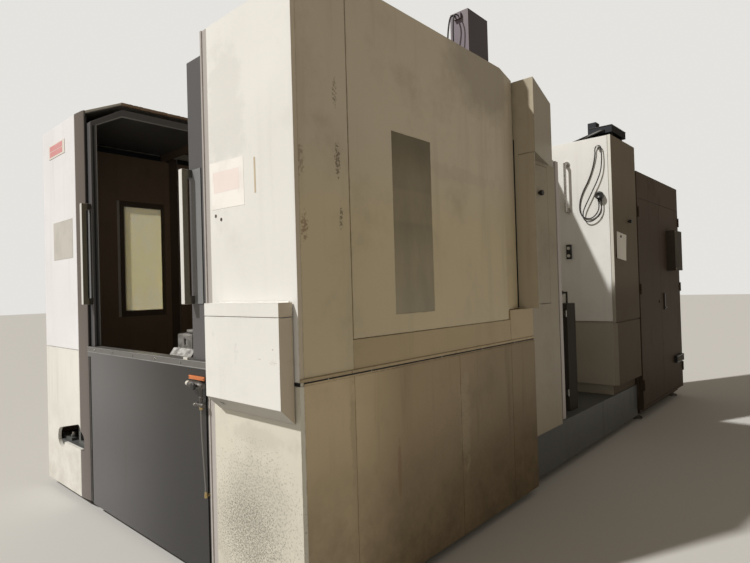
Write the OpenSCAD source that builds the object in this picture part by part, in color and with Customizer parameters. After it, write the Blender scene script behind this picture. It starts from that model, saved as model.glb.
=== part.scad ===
// Horizontal machining centre with a two-pallet set-up station, full sheet enclosure,
// tool magazine housing and electrical cabinet. The front faces -Y, +Z is up.
// Positions are laid out from the front right corner of the enclosure at floor level
// (x runs negative to the left, y runs to the rear) and centred by place().

/* [Enclosure] */
// Width of the front
front_w = 3400; // [3300:10:3600]
// Depth of the main enclosure along its right side
side_d = 2320; // [2290:5:2340]
// Height of the main roof
roof_h = 3150; // [3140:5:3250]
// Height of the front panels
front_h = 3025; // [3010:5:3040]
// Height of the belt line above the floor
belt_h = 1190; // [1150:5:1200]
// Thickness of the enclosure skins
skin = 25; // [20:1:28]
// Height of the recessed base above the floor
foot_h = 70; // [55:1:90]
// Height of the machine bed top
bed_h = 420; // [380:5:440]

/* [Set-up station] */
// Width of the fixed panel right of the opening
open_r = 765; // [755:1:790]
// Width of the opening
open_w = 1725; // [1690:5:1760]
// Depth of the sheet edge trim left of the opening
trim_w = 157; // [120:1:180]
// Length of the open right door that stays in the opening
show_r = 215; // [205:1:225]
// Length of the open left door that stays in the opening
show_l = 70; // [62:1:78]
// Thickness of the sliding doors
door_t = 45; // [38:1:48]
// Height of the door track above the belt line
track_t = 35; // [30:1:45]
// Length of the door handles
handle_l = 760; // [600:10:820]

/* [Side door] */
// Distance from the front corner to the hinge seam
hinge_y = 348; // [346:1:352]
// Height of the seam below the side door
sill_h = 1355; // [1330:5:1380]
// Width of the tall windows
win_w = 354; // [300:2:354]
// Height of the tall windows
win_h = 995; // [900:5:1020]

/* [Pallet changer] */
// Edge length of a pallet
pallet = 800; // [740:10:810]
// Distance from the changer axis to a pallet centre
swap_r = 700; // [690:5:710]
// Height of the pallet top above the floor
pallet_h = 1120; // [1110:5:1130]
// Radius of the rotary table
table_r = 290; // [240:5:295]

/* [Rear units] */
// Distance from the front to the tool magazine housing
mag_y = 4200; // [4180:10:4260]
// Depth of the tool magazine housing
mag_d = 800; // [780:10:860]
// Width of the magazine housing and the electrical cabinet
rear_w = 700; // [690:5:760]
// Depth of the electrical cabinet
cab_d = 1850; // [1800:10:1950]
// Height of the electrical cabinet
cab_h = 2870; // [2850:5:2950]
// Radius of the tool disc
disc_r = 262; // [250:1:268]

/* [Hidden] */
$fn = 48;
seat = 0.3;         // clearance between pieces that rest or slide on each other
gap = 3;            // seam between neighbouring sheet pieces
con_d = 85;         // depth of the console box
tower_out = 110;    // how far the upper side box stands out
x_l = -front_w;
xr = -open_r;                       // right edge of the opening
xl = xr - open_w;                   // left edge of the opening
xp = xl - trim_w;                   // right edge of the left pillar face
xm = (xr + xl) / 2;                 // middle of the opening
rt = 20;                            // roof sheet thickness
fr = 20;                            // thickness of the frame uprights
xi = -skin - fr;                    // inner face of the right frame uprights
xli = x_l + skin + fr;              // inner face of the left frame uprights
lip_t = 15;                         // height of the belt lip
lip_h = belt_h + lip_t;             // top of the belt lip
band_h = belt_h - 18;               // top of the skirts, under the dark band
slope_y = 300;                      // depth of the sloped front of the roof
slot_y = 1100;                      // depth of the roof slot over the station
tower_y = side_d - 120;             // front face of the side tower
tower_d = 650;
tower_e = tower_y + tower_d;
tower_in = skin + seat;              // setback of the lower side of the tower
box_z = 2580;                       // underside of the upper side box
box_e = tower_y + 680;
door_z = belt_h + track_t + seat;   // underside of the sliding doors
dy = skin + 10;                     // front face of the sliding doors
door_w = min(open_r + xi + show_r, front_w - open_r - open_w + xi + show_l) - 5; // fits both bays
door_top = roof_h - 80;             // top of the roof leaf of the doors
leaf_t = 62;                        // thickness of the roof leaf
leaf_e = 1080;                      // rear end of the roof leaf
bevel_h = 144;                      // height and depth of the bevel at the top of the doors
bevel_d = 243;
rim = 60;                           // width of the stiffening frame behind the door leaf
cut_w = 503;                        // width of the anchor cut-out
bend = 1905;                        // where the side door starts to taper
bend_in = 60;                       // setback at the rear end of the taper
sd_e = tower_y - 12;                // rear end of the side door
win_y = 683;
win_z = 1460;
rear_e = 4950;                      // rear face of the machine housing
mag_e = mag_y + mag_d;
mag_top = roof_h - 22;
cab_y = mag_e + 35;
cab_e = cab_y + cab_d;
cab_split = cab_y + 895;
fascia_z = cab_h - 310;
chg_y = 1300;                       // pallet changer axis
fork_z = pallet_h - 105;            // underside of the fork arms
fork_t = 50;
neck = pallet - 200;                // width of the pallet neck between the fork arms
neck_z = fork_z - 5;                // underside of the pallets
table_z = neck_z - seat;
mach_y = chg_y + swap_r;            // centre of the machining pallet
saddle_z = bed_h + 80 + seat;
col_y = 3040;
col_z = bed_h + 100 + seat;
spin_z = 1700;
hx_out = 105;
hx_y = cab_split + 310;
hx_z = fascia_z - 310;              // top of the heat exchanger
pin_r = 4;                          // hinge pins of the cabinet doors
knuckle_r = 9;
pin_x = knuckle_r + seat;           // hinge axis in front of the cabinet doors
box_y = side_d - 570;               // front of the roof box
cord_r = 6;                         // radius of the hanging lead
hook_z = 3012;                      // peg that carries the hanging lead
hook_r = 8;
lube_y = mag_y - 880;               // front of the lubrication cabinet
lube_h = belt_h + 222;
hinge_z = [foot_h + 280, 1450, fascia_z - 220]; // undersides of the cabinet hinges
bowl_x = -275;                      // axis of the filter bowl
bowl_y = lube_y + 90;
col_top = roof_h - 330;
pull_top = door_top - 767;          // top of the door handles
con_b = belt_h - 188;               // underside of the console at the panel
con_t = belt_h + 293;               // seam below the console lid
lid_t = con_t + 67;
con_seam = 3.5;                     // open seam under the console lid
y_min = -con_d;
cx = (x_l + tower_out) / 2;
cy = (y_min + cab_e) / 2;
mag_hx = -33;                       // hinge side edge of the magazine door
disc_x = -rear_w / 2;
disc_y = mag_y + 300;
disc_z = 2150;
tool_n = 12;
feet = [for (y = [150, 1100, side_d - 170, 3400, mag_y + 600]) for (x = [-200, x_l / 2, x_l + 150]) [x, y]];
cab_feet = [for (y = [cab_y + 120, cab_e - 120]) for (x = [-rear_w + 110, -120]) [x, y]];

// Route of the hanging lead on the magazine door: x and z from the door's hinge edge, with the
// distance in front of the door
lead = [[-66, 30, 2440], [-66, 30, 2415], [-66, 30, 2385], [-74, 30, 2345], [-92, 30, 2308],
    [-120, 30, 2274], [-158, 30, 2250], [-198, 30, 2242], [-234, 30, 2256], [-256, 30, 2292],
    [-256, 30, 2350], [-230, 30, 2415], [-190, 30, 2490], [-146, 30, 2575], [-100, 30, 2665],
    [-64, 30, 2760], [-50, 30, 2860], [-50, 28, 2940], [-54, 25, 2990], [-64, 23, 3017],
    [-86, 22, 3027], [-108, 21, 3017], [-118, 19, 2990], [-120, 16, 2940], [-138, 12, 2850],
    [-166, 10, 2760], [-204, 10, 2670], [-256, 10, 2575], [-290, 10, 2485], [-300, 10, 2400],
    [-288, 10, 2336], [-254, 10, 2294], [-206, 12, 2278], [-160, 15, 2288], [-122, 21, 2320],
    [-100, 27, 2354], [-92, 30, 2386], [-92, 30, 2413], [-92, 30, 2440]];
// Route of the air hose down the apron, in x from the edge of the opening, y and z
hose = [[-22, -32, 976], [-22, -32, 962], [-22, -32, 946], [-22, -31, 880], [-23, -27, 790],
    [-24, -21, 690], [-25, -16, 600], [-25, -14, 565], [-25, -14, 548], [-25, -14, 530]];
// Routes of the two leads on the roof box, in x, y and z
roof_lead_a = [[-242, 1728, 3540], [-242, 1720, 3540], [-242, 1711, 3540], [-243, 1691, 3534],
    [-247, 1675, 3519], [-252, 1668, 3495], [-261, 1667, 3450], [-272, 1671, 3390],
    [-279, 1678, 3330], [-279, 1688, 3272], [-271, 1699, 3226], [-263, 1707, 3196],
    [-262, 1708, 3184], [-262, 1708, 3173], [-262, 1708, 3162]];
roof_lead_b = [[-216, 1728, 3540], [-216, 1720, 3540], [-216, 1711, 3540], [-216, 1691, 3534],
    [-217, 1675, 3519], [-219, 1668, 3495], [-222, 1667, 3450], [-226, 1670, 3390],
    [-229, 1676, 3330], [-230, 1684, 3272], [-229, 1694, 3226], [-228, 1701, 3196],
    [-228, 1702, 3184], [-228, 1702, 3173], [-228, 1702, 3162]];

module place() translate([-cx, -cy, 0]) children();
module bx(x0, x1, y0, y1, z0, z1) translate([x0, y0, z0]) cube([x1 - x0, y1 - y0, z1 - z0]);
module cx_(y, z, x0, x1, r) translate([x0, y, z]) rotate([0, 90, 0]) cylinder(r = r, h = x1 - x0);
module cy_(x, z, y0, y1, r) translate([x, y1, z]) rotate([90, 0, 0]) cylinder(r = r, h = y1 - y0);
module cz_(x, y, z0, z1, r) translate([x, y, z0]) cylinder(r = r, h = z1 - z0);
// Outline in y and z, extruded from x0 to x1
module along_x(x0, x1, pts) translate([x0, 0, 0]) rotate([90, 0, 90]) linear_extrude(x1 - x0) polygon(pts);
// Outline in x and z, extruded from y0 to y1
module along_y(y0, y1, pts) translate([0, y1, 0]) rotate([90, 0, 0]) linear_extrude(y1 - y0) polygon(pts);
// Outline in x and y, extruded from z0 to z1
module along_z(z0, z1, pts) translate([0, 0, z0]) linear_extrude(z1 - z0) polygon(pts);

// Round tube swept along points in one polyhedron
function unit(v) = v / norm(v);
function tangent(p, i) = unit(p[min(i + 1, len(p) - 1)] - p[max(i - 1, 0)]);
function side_of(t) = unit(cross(t, abs(t[1]) < 0.9 ? [0, 1, 0] : [1, 0, 0]));
function ring(c, t, r, n) = let (u = side_of(t), v = cross(t, u))
    [for (k = [0 : n - 1]) c + r * (cos(360 * k / n) * u + sin(360 * k / n) * v)];
module tube(p, r, n = 8) {
    m = len(p);
    polyhedron(
        points = [for (i = [0 : m - 1]) each ring(p[i], tangent(p, i), r, n)],
        faces = concat([[for (k = [0 : n - 1]) k]],
            [for (i = [0 : m - 2]) for (k = [0 : n - 1])
                [i * n + k, (i + 1) * n + k, (i + 1) * n + (k + 1) % n, i * n + (k + 1) % n]],
            [[for (k = [n - 1 : -1 : 0]) (m - 1) * n + k]]));
}
// Smooth curve through the route points, s rings between two of them
function spline(a, b, c, d, t) = 0.5 * (2 * b + (c - a) * t + (2 * a - 5 * b + 4 * c - d) * t * t
    + (3 * b - a - 3 * c + d) * t * t * t);
function smooth(p, s) = let (m = len(p)) concat([for (i = [0 : m - 2]) for (k = [0 : s - 1])
    spline(p[max(i - 1, 0)], p[i], p[i + 1], p[min(i + 2, m - 1)], k / s)], [p[m - 1]]);

// Cast bed under the whole machine, narrower behind the side tower
module bed() color("dimgray") place() {
    along_z(foot_h, bed_h, [[x_l + skin, skin], [-skin, skin], [-skin, side_d], [-60, side_d],
        [-60, mag_e], [x_l + skin, mag_e]]);
    for (s = [-1, 1]) {
        bx(xm + s * 230 - 35, xm + s * 230 + 35, mach_y - 380, col_y - 60, bed_h - 5, bed_h + 80);
    }
    for (y = [col_y + 60, col_y + 780]) bx(xm - 780, xm + 780, y, y + 80, bed_h - 5, bed_h + 100);
    // anchor plate with its jacking bolt, and the rib beside it
    bx(xp - 640, xp - 340, skin + 25, skin + 95, bed_h - 5, bed_h + 22);
    cz_(xp - 384, skin + 55, bed_h, bed_h + 62, 12);
    cz_(xp - 384, skin + 55, bed_h + 21, bed_h + 40, 22);
    bx(xp - 165, xp + 30, skin + 20, skin + 150, bed_h - 5, bed_h + 40);
    bx(xp - 165, xp - 125, skin + 20, skin + 150, bed_h - 5, bed_h + 150);
    // pedestal of the pallet changer
    cz_(xm, chg_y, bed_h - 5, fork_z - 60 - seat, 210);
    cz_(xm, chg_y, bed_h - 5, bed_h + 60, 240);
}
module leveling_feet() color("black") place() {
    for (p = feet) foot(p);
    for (p = cab_feet) foot(p);
}
module foot(p) {
    cz_(p[0], p[1], 0, 18, 62);
    cz_(p[0], p[1], 17, foot_h, 20);
    cz_(p[0], p[1], 17, 32, 32);
}

// Welded frame that carries the skins, the roof and the upper door track
module main_frame() color("slategray") place() {
    for (s = [0, 1]) {
        a = s == 0 ? xi : x_l + skin;
        b = s == 0 ? -skin : xli;
        bx(a, b, 80, 180, bed_h, 2990);
        bx(a, b, 80, 400, 2900, 2990);
        bx(a, b, 300, 400, bed_h, roof_h - rt);
        bx(a, b, leaf_e - 30, leaf_e + 50, bed_h, roof_h - rt);
        bx(a, b, 300, 1180, door_top, roof_h - rt);
    }
    bx(-130, -skin, slot_y, slot_y + 80, door_top, roof_h - rt);
    bx(-130, -90, slot_y, tower_y, door_top, roof_h - rt);
    bx(-130, -90, tower_y - 80, tower_y, bed_h, roof_h - rt);
    bx(x_l + skin, xli, tower_y - 80, tower_y, bed_h, roof_h - rt);
    bx(x_l + skin, xli, slot_y, tower_y, door_top, roof_h - rt);
    bx(xli - 5, -90, tower_y - 80, tower_y, door_top, roof_h - rt);
    bx(xli - 5, xi + 5, slot_y, slot_y + 80, door_top, roof_h - rt);
    bx(xli - 5, xi + 5, leaf_e - 35, leaf_e, door_top - leaf_t - seat - 60, door_top - leaf_t - seat);
}

module front_panel() color("ivory") place() bx(xr + 60, 0, 0, skin, belt_h, front_h);
module left_pillar() color("ivory") place() bx(x_l, xp, 0, skin, belt_h, front_h);
// Cut-out with rounded corners over the anchor foot, at the foot of the left pillar
module anchor_cut() {
    x0 = xp - cut_w;
    along_y(-1, skin + 1, [[x0, bed_h], [x0, 450], [x0 + 63, 528], [xp - 56, 606], [xp - 1, 562],
        [xp, bed_h]]);
    cy_(x0 + 80, 450, -1, skin + 1, 80);
    cy_(xp - 46, 562, -1, skin + 1, 45);
    cy_(xp, bed_h + 74, -5, skin + 1, 66);
    bx(xp - 1, xp + 66, -5, skin + 1, bed_h, bed_h + 74);
}
// Lower front panels, the left one cut out for the anchor foot
module front_skirts() color("ivory") place() {
    bx(xr + 60, 0, 0, skin, foot_h - 10, band_h);
    bx(xr + 60, -4, 4, skin, band_h - 1, belt_h);
    difference() {
        bx(x_l, xp, 0, skin, foot_h - 10, belt_h - gap);
        anchor_cut();
    }
}
// Edge trims on both sides of the opening
module front_trims() color("lightgray") place() {
    bx(xr, xr + 60, 3, skin, foot_h - 10, front_h);
    bx(xr, xr + 15, -3, 4, foot_h - 10, front_h);
    difference() {
        along_z(foot_h - 10, front_h, [[xp, 0], [xp + 20, -2], [xl - 30, 8], [xl, 14], [xl, skin],
            [xp, skin]]);
        anchor_cut();
    }
}

// Fixed dark apron below the doors, set forward between two seal strips, with its folded top
module apron() color("darkslategray") place() {
    bx(xl + gap, xr - gap, 17, skin, foot_h - 10, band_h);
    bx(xl + 70, xr - 38, 5, 18, foot_h - 10, band_h);
    bx(xl + gap, xr - gap, 5, dy + 45, band_h - 20, belt_h);
}
module door_track() color("dimgray") place() {
    bx(xl + gap, xr - gap, 5, skin + 3, belt_h, belt_h + track_t);
    bx(xli + 5, xi - 5, skin + 2, dy + door_t + 5, belt_h, belt_h + track_t);
}

module left_wall() color("ivory") place() difference() {
    along_x(x_l, x_l + skin, [[skin, foot_h - 10], [side_d, foot_h - 10], [side_d, roof_h],
        [slope_y, roof_h], [skin, front_h]]);
    bx(x_l - 1, x_l + skin + 1, win_y, win_y + win_w, win_z, win_z + win_h);
    bx(x_l - 1, x_l + 4, 0, side_d + 1, band_h, belt_h);
}
module left_window() color("lightyellow") place() {
    bx(x_l + skin, x_l + skin + 8, win_y - 20, win_y + win_w + 10, win_z - 20, win_z + win_h + 20);
    difference() {
        bx(x_l + skin, x_l + skin + 14, win_y - 50, win_y + win_w + 12, win_z - 60, win_z + win_h + 60);
        bx(x_l + skin - 1, x_l + skin + 15, win_y - 20, win_y + win_w + 11, win_z - 20, win_z + win_h + 20);
    }
}

module corner_panel() color("tan") place()
    along_x(-skin, 0, [[skin, lip_h], [hinge_y - gap, lip_h], [hinge_y - gap, roof_h],
        [slope_y, roof_h], [skin, front_h]]);
module side_sill() color("tan") place() {
    bx(-skin, 0, hinge_y - gap, bend + 46, lip_h, sill_h - gap);
    bx(-skin, 0, bend + 49, side_d - 10, lip_h, sill_h + 65);
    bx(-skin, -8, bend + 40, tower_y - 5, lip_h, sill_h - gap);
}
module side_skirt() color("tan") place() {
    difference() {
        bx(-skin, 0, skin, side_d, foot_h - 10, band_h);
        for (y = [hinge_y, 1285, bend + 48]) bx(-3, 1, y - 1.5, y + 1.5, foot_h - 11, band_h + 1);
    }
    bx(-skin, -4, skin, side_d, band_h, belt_h);
}
module belt_lip() color("wheat") place()
    along_z(belt_h, lip_h, [[0, 0], [7, 0], [7, side_d - 10], [-skin, side_d - 10], [-skin, skin],
        [0, skin]]);

// Large flush door, tapered at its rear edge, hinged at the front seam
module side_door() color("tan") place() difference() {
    along_z(sill_h, roof_h, [[0, hinge_y + gap], [0, bend], [-bend_in, sd_e], [-bend_in - skin, sd_e],
        [-skin, bend - 5], [-skin, hinge_y + gap]]);
    bx(-8, 1, win_y, win_y + win_w, win_z, win_z + win_h);
    bx(-skin - 1, 1, win_y + 12, win_y + win_w - 12, win_z + 12, win_z + win_h - 12);
    // the block at the rear of the sill stays fixed
    bx(-bend_in - skin - 1, 1, bend + 43, sd_e + 1, sill_h - 1, sill_h + 68);
}
module side_window() color("dimgray") place()
    bx(-8, -1, win_y + seat, win_y + win_w - seat, win_z + seat, win_z + win_h - seat);

module roof() color("ivory") place() {
    pts = [[skin, front_h - rt], [slope_y, roof_h - rt], [slot_y + 1, roof_h - rt],
        [slot_y + 1, roof_h], [slope_y, roof_h], [skin, front_h]];
    along_x(xr, -skin - gap, pts);
    along_x(x_l + skin, xl, pts);
    along_z(roof_h - rt, roof_h, [[x_l + skin, slot_y], [-skin - gap, slot_y], [-skin - gap, bend],
        [-bend_in - skin - gap, sd_e], [-bend_in - skin - gap, tower_y - 5], [-rear_w - 5, tower_y - 5],
        [-rear_w - 5, side_d], [x_l + skin, side_d]]);
}
module roof_box() color("gray") place() {
    bx(-300, -150, box_y, box_y + 270, roof_h, roof_h + 430);
    bx(-258, -200, box_y - 22, box_y + 1, roof_h + 370, roof_h + 410);
    cz_(-262, box_y - 42, roof_h, roof_h + 12, 14);
    cz_(-228, box_y - 48, roof_h, roof_h + 12, 14);
    bx(-160, -110, box_y + 330, box_y + 380, roof_h, roof_h + 45);
}
module roof_leads() color("black") place() {
    off = [0, box_y - 1750, roof_h - 3150];
    tube([for (p = smooth(roof_lead_a, 2)) p + off], 6);
    tube([for (p = smooth(roof_lead_b, 2)) p + off], 5);
}

// Sliding door of the set-up station: upright leaf, bevel and roof leaf in one folded section,
// with a recess between the stiffening frame at the back of the upright leaf
module setup_leaf(x0) color("darkslategray") place() difference() {
    along_x(x0, x0 + door_w, [[dy, door_z], [dy, door_top - bevel_h], [dy + bevel_d, door_top],
        [leaf_e, door_top], [leaf_e, door_top - leaf_t], [dy + bevel_d - 6, door_top - leaf_t],
        [dy + door_t, door_top - bevel_h - 20], [dy + door_t, door_z]]);
    bx(x0 + rim, x0 + door_w - rim, dy + 20, dy + door_t + 1, door_z + rim, door_top - bevel_h - 2 * rim);
}
module setup_door_right() setup_leaf(xr - show_r);
module setup_door_left() setup_leaf(xl + show_l - door_w);
// Square pull handle beside the leading edge x of a door, on two brackets and a fixing strip
module pull(x, s) color("silver") place() {
    z0 = pull_top - handle_l;
    z1 = pull_top;
    strip(x, s, 10, 48, dy - 70, dy - 35, z0, z1);
    for (z = [z0, z1 - 46]) strip(x, s, 10, 48, dy - 36, dy, z, z + 46);
    strip(x, s, 28, 134, dy - 6, dy, z0, z1);
}
// Block between two distances from the leading edge x, on the side s of it
module strip(x, s, a, b, y0, y1, z0, z1)
    bx(min(x + s * a, x + s * b), max(x + s * a, x + s * b), y0, y1, z0, z1);
module handle_right() pull(xr - show_r, 1);
module handle_left() pull(xl + show_l, -1);

// Side tower behind the door: box above, recessed side with a small door below
module side_tower() color("tan") place() {
    along_z(box_z + gap, roof_h - 10, [[-rear_w, tower_y], [tower_out, tower_y], [-55, box_e],
        [-rear_w, box_e]]);
    difference() {
        bx(-rear_w, -tower_in, tower_y, tower_e, bed_h, box_z + gap);
        bx(-tower_in - 24 - seat, -tower_in + 1, tower_y + 32, tower_e - 150, sill_h + 85, box_z - 20);
        bx(-450, -tower_in - 20, tower_y + 45, tower_e - 165, sill_h + 100, box_z - 35);
    }
    bx(-tower_in - 1, tower_out - 10, tower_y, tower_y + 22, sill_h + 68, box_z);
    bx(-440, -100, tower_y + 100, tower_e - 250, sill_h + 80, sill_h + 400);
}
module tower_door() color("dimgray") place()
    bx(-tower_in - 24, -tower_in, tower_y + 35, tower_e - 153, sill_h + 88, box_z - 23);
module tower_knob() color("black") place() {
    cx_(tower_y + 340, 2330, -tower_in, -tower_in + 14, 12);
    cx_(tower_y + 340, 2330, -tower_in + 13, -tower_in + 34, 22);
}
module tower_rails() color("gray") place() {
    for (y = [tower_e + 40, tower_e + 135]) bx(-120, -75, y, y + 60, bed_h, box_z + 90);
    for (z = [bed_h + 280, sill_h + 145, box_z - 180]) bx(-112, -90, tower_e, tower_e + 137, z, z + 40);
}

// Plain covers around the column, open towards the station
module rear_housing() color("ivory") place() {
    y0 = side_d + 5;
    bx(x_l + skin, x_l + 2 * skin, y0, rear_e, bed_h, roof_h - 100);
    bx(-rear_w - skin, -rear_w, y0, rear_e, bed_h, roof_h - 100);
    bx(x_l + skin, -rear_w, rear_e - skin, rear_e, bed_h, roof_h - 100);
    bx(x_l + skin, -rear_w, y0, rear_e, roof_h - 100 - rt, roof_h - 100);
}
module lube_cabinet() color("darkslategray") place() {
    bx(-314, -150, lube_y, lube_y + 190, bed_h, lube_h);
    cy_(-222, bed_h + 340, lube_y - 25, lube_y + 1, 22);
    cy_(-222, bed_h + 340, lube_y - 32, lube_y - 24, 30);
    // filter head on its riser pipe
    cz_(-187, bowl_y, lube_h - 1, lube_h + 110, 9);
    cx_(bowl_y, lube_h + 101, bowl_x, -187, 9);
    cx_(bowl_y, lube_h + 101, bowl_x - 77, bowl_x, 12);
    cz_(bowl_x, bowl_y, lube_h + 84, lube_h + 118, 55);
}
// Clear bowl screwed to the underside of the filter head
module filter_bowl() color("lightgray") place() translate([bowl_x, bowl_y, lube_h]) rotate_extrude()
    polygon([[0, 0], [26, 0], [42, 9], [49, 24], [49, 84], [0, 84]]);

module magazine_housing() color("ivory") place() {
    y0 = mag_y + 30 + seat;
    z0 = belt_h - gap;
    bx(-skin, 0, y0, mag_e, z0, mag_top);
    bx(-rear_w, -rear_w + skin, y0, mag_e, z0, mag_top);
    bx(-rear_w, 0, mag_e - skin, mag_e, z0, mag_top);
    bx(-rear_w, 0, y0, mag_e, mag_top - skin, mag_top);
    bx(-rear_w, 0, y0, mag_e, z0, z0 + skin);
    bx(-30, 0, mag_y, y0 + 1, z0, mag_top);
    // recessed seam, lower panels and plinth
    bx(-rear_w + 10, -12, mag_y + 12, mag_e - 5, z0 - 14, z0 + 1);
    along_z(foot_h + 460, z0 - 13, [[-rear_w + 5, mag_y + 8], [-40, mag_y + 8], [-2, mag_y + 50],
        [-2, mag_e], [-rear_w + 5, mag_e]]);
    bx(-rear_w + 40, -70, mag_y + 60, mag_e - 20, bed_h, foot_h + 461);
    // bearing bracket of the tool disc
    cy_(disc_x, disc_z, disc_y + 60 + seat, mag_e - skin + 1, 70);
    // cable tray on two feet, with a junction block
    bx(-300, -60, mag_y + 250, mag_e - 92, mag_top + 90, mag_top + 167);
    for (y = [mag_y + 300, mag_e - 190]) bx(-290, -80, y, y + 40, mag_top - 1, mag_top + 91);
    bx(-340, -250, mag_y + 320, mag_y + 430, mag_top - 1, mag_top + 250);
}
module magazine_door() color("ivory") place() difference() {
    bx(-rear_w + gap, mag_hx, mag_y, mag_y + 30, belt_h + 2, mag_top - gap);
    bx(-rear_w + 40, mag_hx - 40, mag_y + 6, mag_y + 31, belt_h + 60, mag_top - 60);
}
module magazine_handle() color("silver") place() {
    for (z = [2382, 2888]) {
        cy_(-462, z, mag_y - 62, mag_y, 17);
        cy_(-462, z, mag_y - 8, mag_y, 34);
    }
    cz_(-462, mag_y - 62, 2370, 2900, 14);
}
module button_box() color("black") place() difference() {
    bx(-486, -436, mag_y - 32, mag_y, 1862, 2016);
    for (z = [1896, 1978]) cy_(-461, z, mag_y - 33, mag_y - 10, 16 + seat);
}
module button(z) color("white") place() cy_(-461, z, mag_y - 40, mag_y - 20, 16);
module button_upper() button(1978);
module button_lower() button(1896);
module lead_hook() color("silver") place() {
    cy_(mag_hx - 86, hook_z, mag_y - 34, mag_y, hook_r);
    cy_(mag_hx - 86, hook_z, mag_y - 4, mag_y, hook_r + 8);
    cy_(mag_hx - 86, hook_z, mag_y - 40, mag_y - 33, hook_r + 3);
}
// Round plug parked on the magazine door
module lead_plug() color("black") place() {
    cy_(mag_hx - 84, 2505, mag_y - 14, mag_y, 26);
    cy_(mag_hx - 84, 2505, mag_y - 60, mag_y - 13, 42);
    bx(mag_hx - 110, mag_hx - 58, mag_y - 44, mag_y - 16, 2440, 2506);
}
module hanging_lead() color("black") place()
    tube(smooth([for (q = lead) [mag_hx + q[0], mag_y - q[1], q[2]]], 2), cord_r);
module side_knob() color("black") place() {
    cx_(mag_e - 310, 2258, 0, 16, 10);
    cx_(mag_e - 310, 2258, 15, 38, 20);
    bx(36, 44, mag_e - 335, mag_e - 285, 2252, 2264);
}
module doc_sleeve() color("lightgray") place() {
    bx(0, 3, mag_y + 110, mag_y + 400, 1830, 2125);
    cx_(mag_y + 220, 2080, 2, 10, 14);
}
module tool_disc() color("silver") place() {
    difference() {
        cy_(disc_x, disc_z, disc_y, disc_y + 60, disc_r);
        for (i = [0 : tool_n - 1]) rotate_tool(i) cy_(0, 0, disc_y - 1, disc_y + 61, 24 + seat);
    }
}
module rotate_tool(i) translate([disc_x, 0, disc_z]) rotate([0, 360 * i / tool_n, 0])
    translate([disc_r - 38, 0, 0]) children();
module tool_holders() color("dimgray") place() for (i = [0 : tool_n - 1]) rotate_tool(i) {
    cy_(0, 0, disc_y - 30, disc_y + 45, 24);
    cy_(0, 0, disc_y - 30 - 18, disc_y - 1, 33);
    cy_(0, 0, disc_y - 150 - 12 * (i % 4), disc_y - 47, 8 + 3 * (i % 3));
}

module electrical_cabinet() color("tan") place() {
    difference() {
        union() {
            bx(-rear_w, -30, cab_y, cab_e, foot_h + 60, cab_h);
            bx(-rear_w, 0, cab_y, cab_e, fascia_z + gap, cab_h);
            bx(-rear_w, 0, cab_y, cab_e, foot_h + 60, foot_h + 90);
            bx(-31, 0, cab_y, cab_y + 12, foot_h + 60, cab_h);
            bx(-31, 0, cab_e - 12, cab_e, foot_h + 60, cab_h);
        }
        bx(-rear_w + 120, -29, cab_y + 30, cab_split - 15, foot_h + 120, fascia_z - 20);
        bx(-rear_w + 120, -29, cab_split + 15, cab_e - 30, foot_h + 120, fascia_z - 20);
    }
    bx(-rear_w + 40, -60, cab_y + 50, cab_e - 50, foot_h, foot_h + 61);
    bx(-rear_w + 50, -50, mag_e, cab_y + 1, foot_h + 200, cab_h - 60);
    for (z = hinge_z) {
        hinge_side(cab_y + 15, -1, z, z + 40);
        hinge_side(cab_y + 15, -1, z + 80, z + 120);
        cz_(pin_x, cab_y + 15, z + 1, z + 119, pin_r);
        hinge_side(cab_e - 15, 1, z, z + 40);
        hinge_side(cab_e - 15, 1, z + 80, z + 120);
        cz_(pin_x, cab_e - 15, z + 1, z + 119, pin_r);
    }
    // rows of devices on the mounting plates
    for (y = [cab_y + 110, cab_split + 110]) for (z = [500 : 420 : 1800])
        bx(-rear_w + 119, -rear_w + 260, y, y + 560, z, z + 230);
}
// Knuckle of a cabinet hinge with its leaf, on the side s of the axis
module hinge_side(y, s, z0, z1) {
    cz_(pin_x, y, z0, z1, knuckle_r);
    bx(0, 3, min(y, y + s * 15), max(y, y + s * 15), z0, z1);
}
module door_knuckles(y, s) difference() {
    for (z = hinge_z) {
        cz_(pin_x, y, z + 40 + seat, z + 80 - seat, knuckle_r);
        bx(0, 3, min(y, y + s * 55), max(y, y + s * 55), z + 40 + seat, z + 80 - seat);
    }
    cz_(pin_x, y, hinge_z[0], hinge_z[2] + 120, pin_r + seat);
}
module cab_leaf(y0, y1) bx(-30 + seat, 0, y0, y1, foot_h + 90 + gap, fascia_z);
module cabinet_door_front() color("tan") place() {
    cab_leaf(cab_y + 15, cab_split - 2);
    door_knuckles(cab_y + 15, 1);
    cx_(cab_split - 110, 1340, 0, 6, 16);
    cx_(cab_split - 110, 1340, 5, 10, 9);
}
module cabinet_door_rear() color("tan") place() {
    cab_leaf(cab_split + 2, cab_e - 15);
    bx(0, 14, cab_split + 85, cab_split + 125, 1230, 1440);
    door_knuckles(cab_e - 15, -1);
}
module heat_exchanger() color("dimgray") place() {
    bx(0, hx_out, hx_y, hx_y + 360, hx_z - 520, hx_z);
    bx(hx_out - 1, hx_out + 4, hx_y + 120, hx_y + 150, hx_z - 470, hx_z - 310);
}

// Shallow box on the front panel with a separate hinged upper part
con_l = xr + 123;
module console_box() color("ivory") place() {
    along_x(con_l, -30, [[-7, con_b], [-con_d, con_b + 75], [-con_d, con_t], [-7, con_t]]);
    bx(con_l + 6, -36, 6 - con_d, -13, con_t - 1, con_t + con_seam - seat);
    bx(con_l + 40, -70, -8, 0, con_b + 240, con_t - 43);
}
module console_lid() color("ivory") place() {
    bx(con_l, -30, -con_d, -7, con_t + con_seam, lid_t);
    cx_(-7, lid_t, con_l + 20, -50, 5);
}

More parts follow.
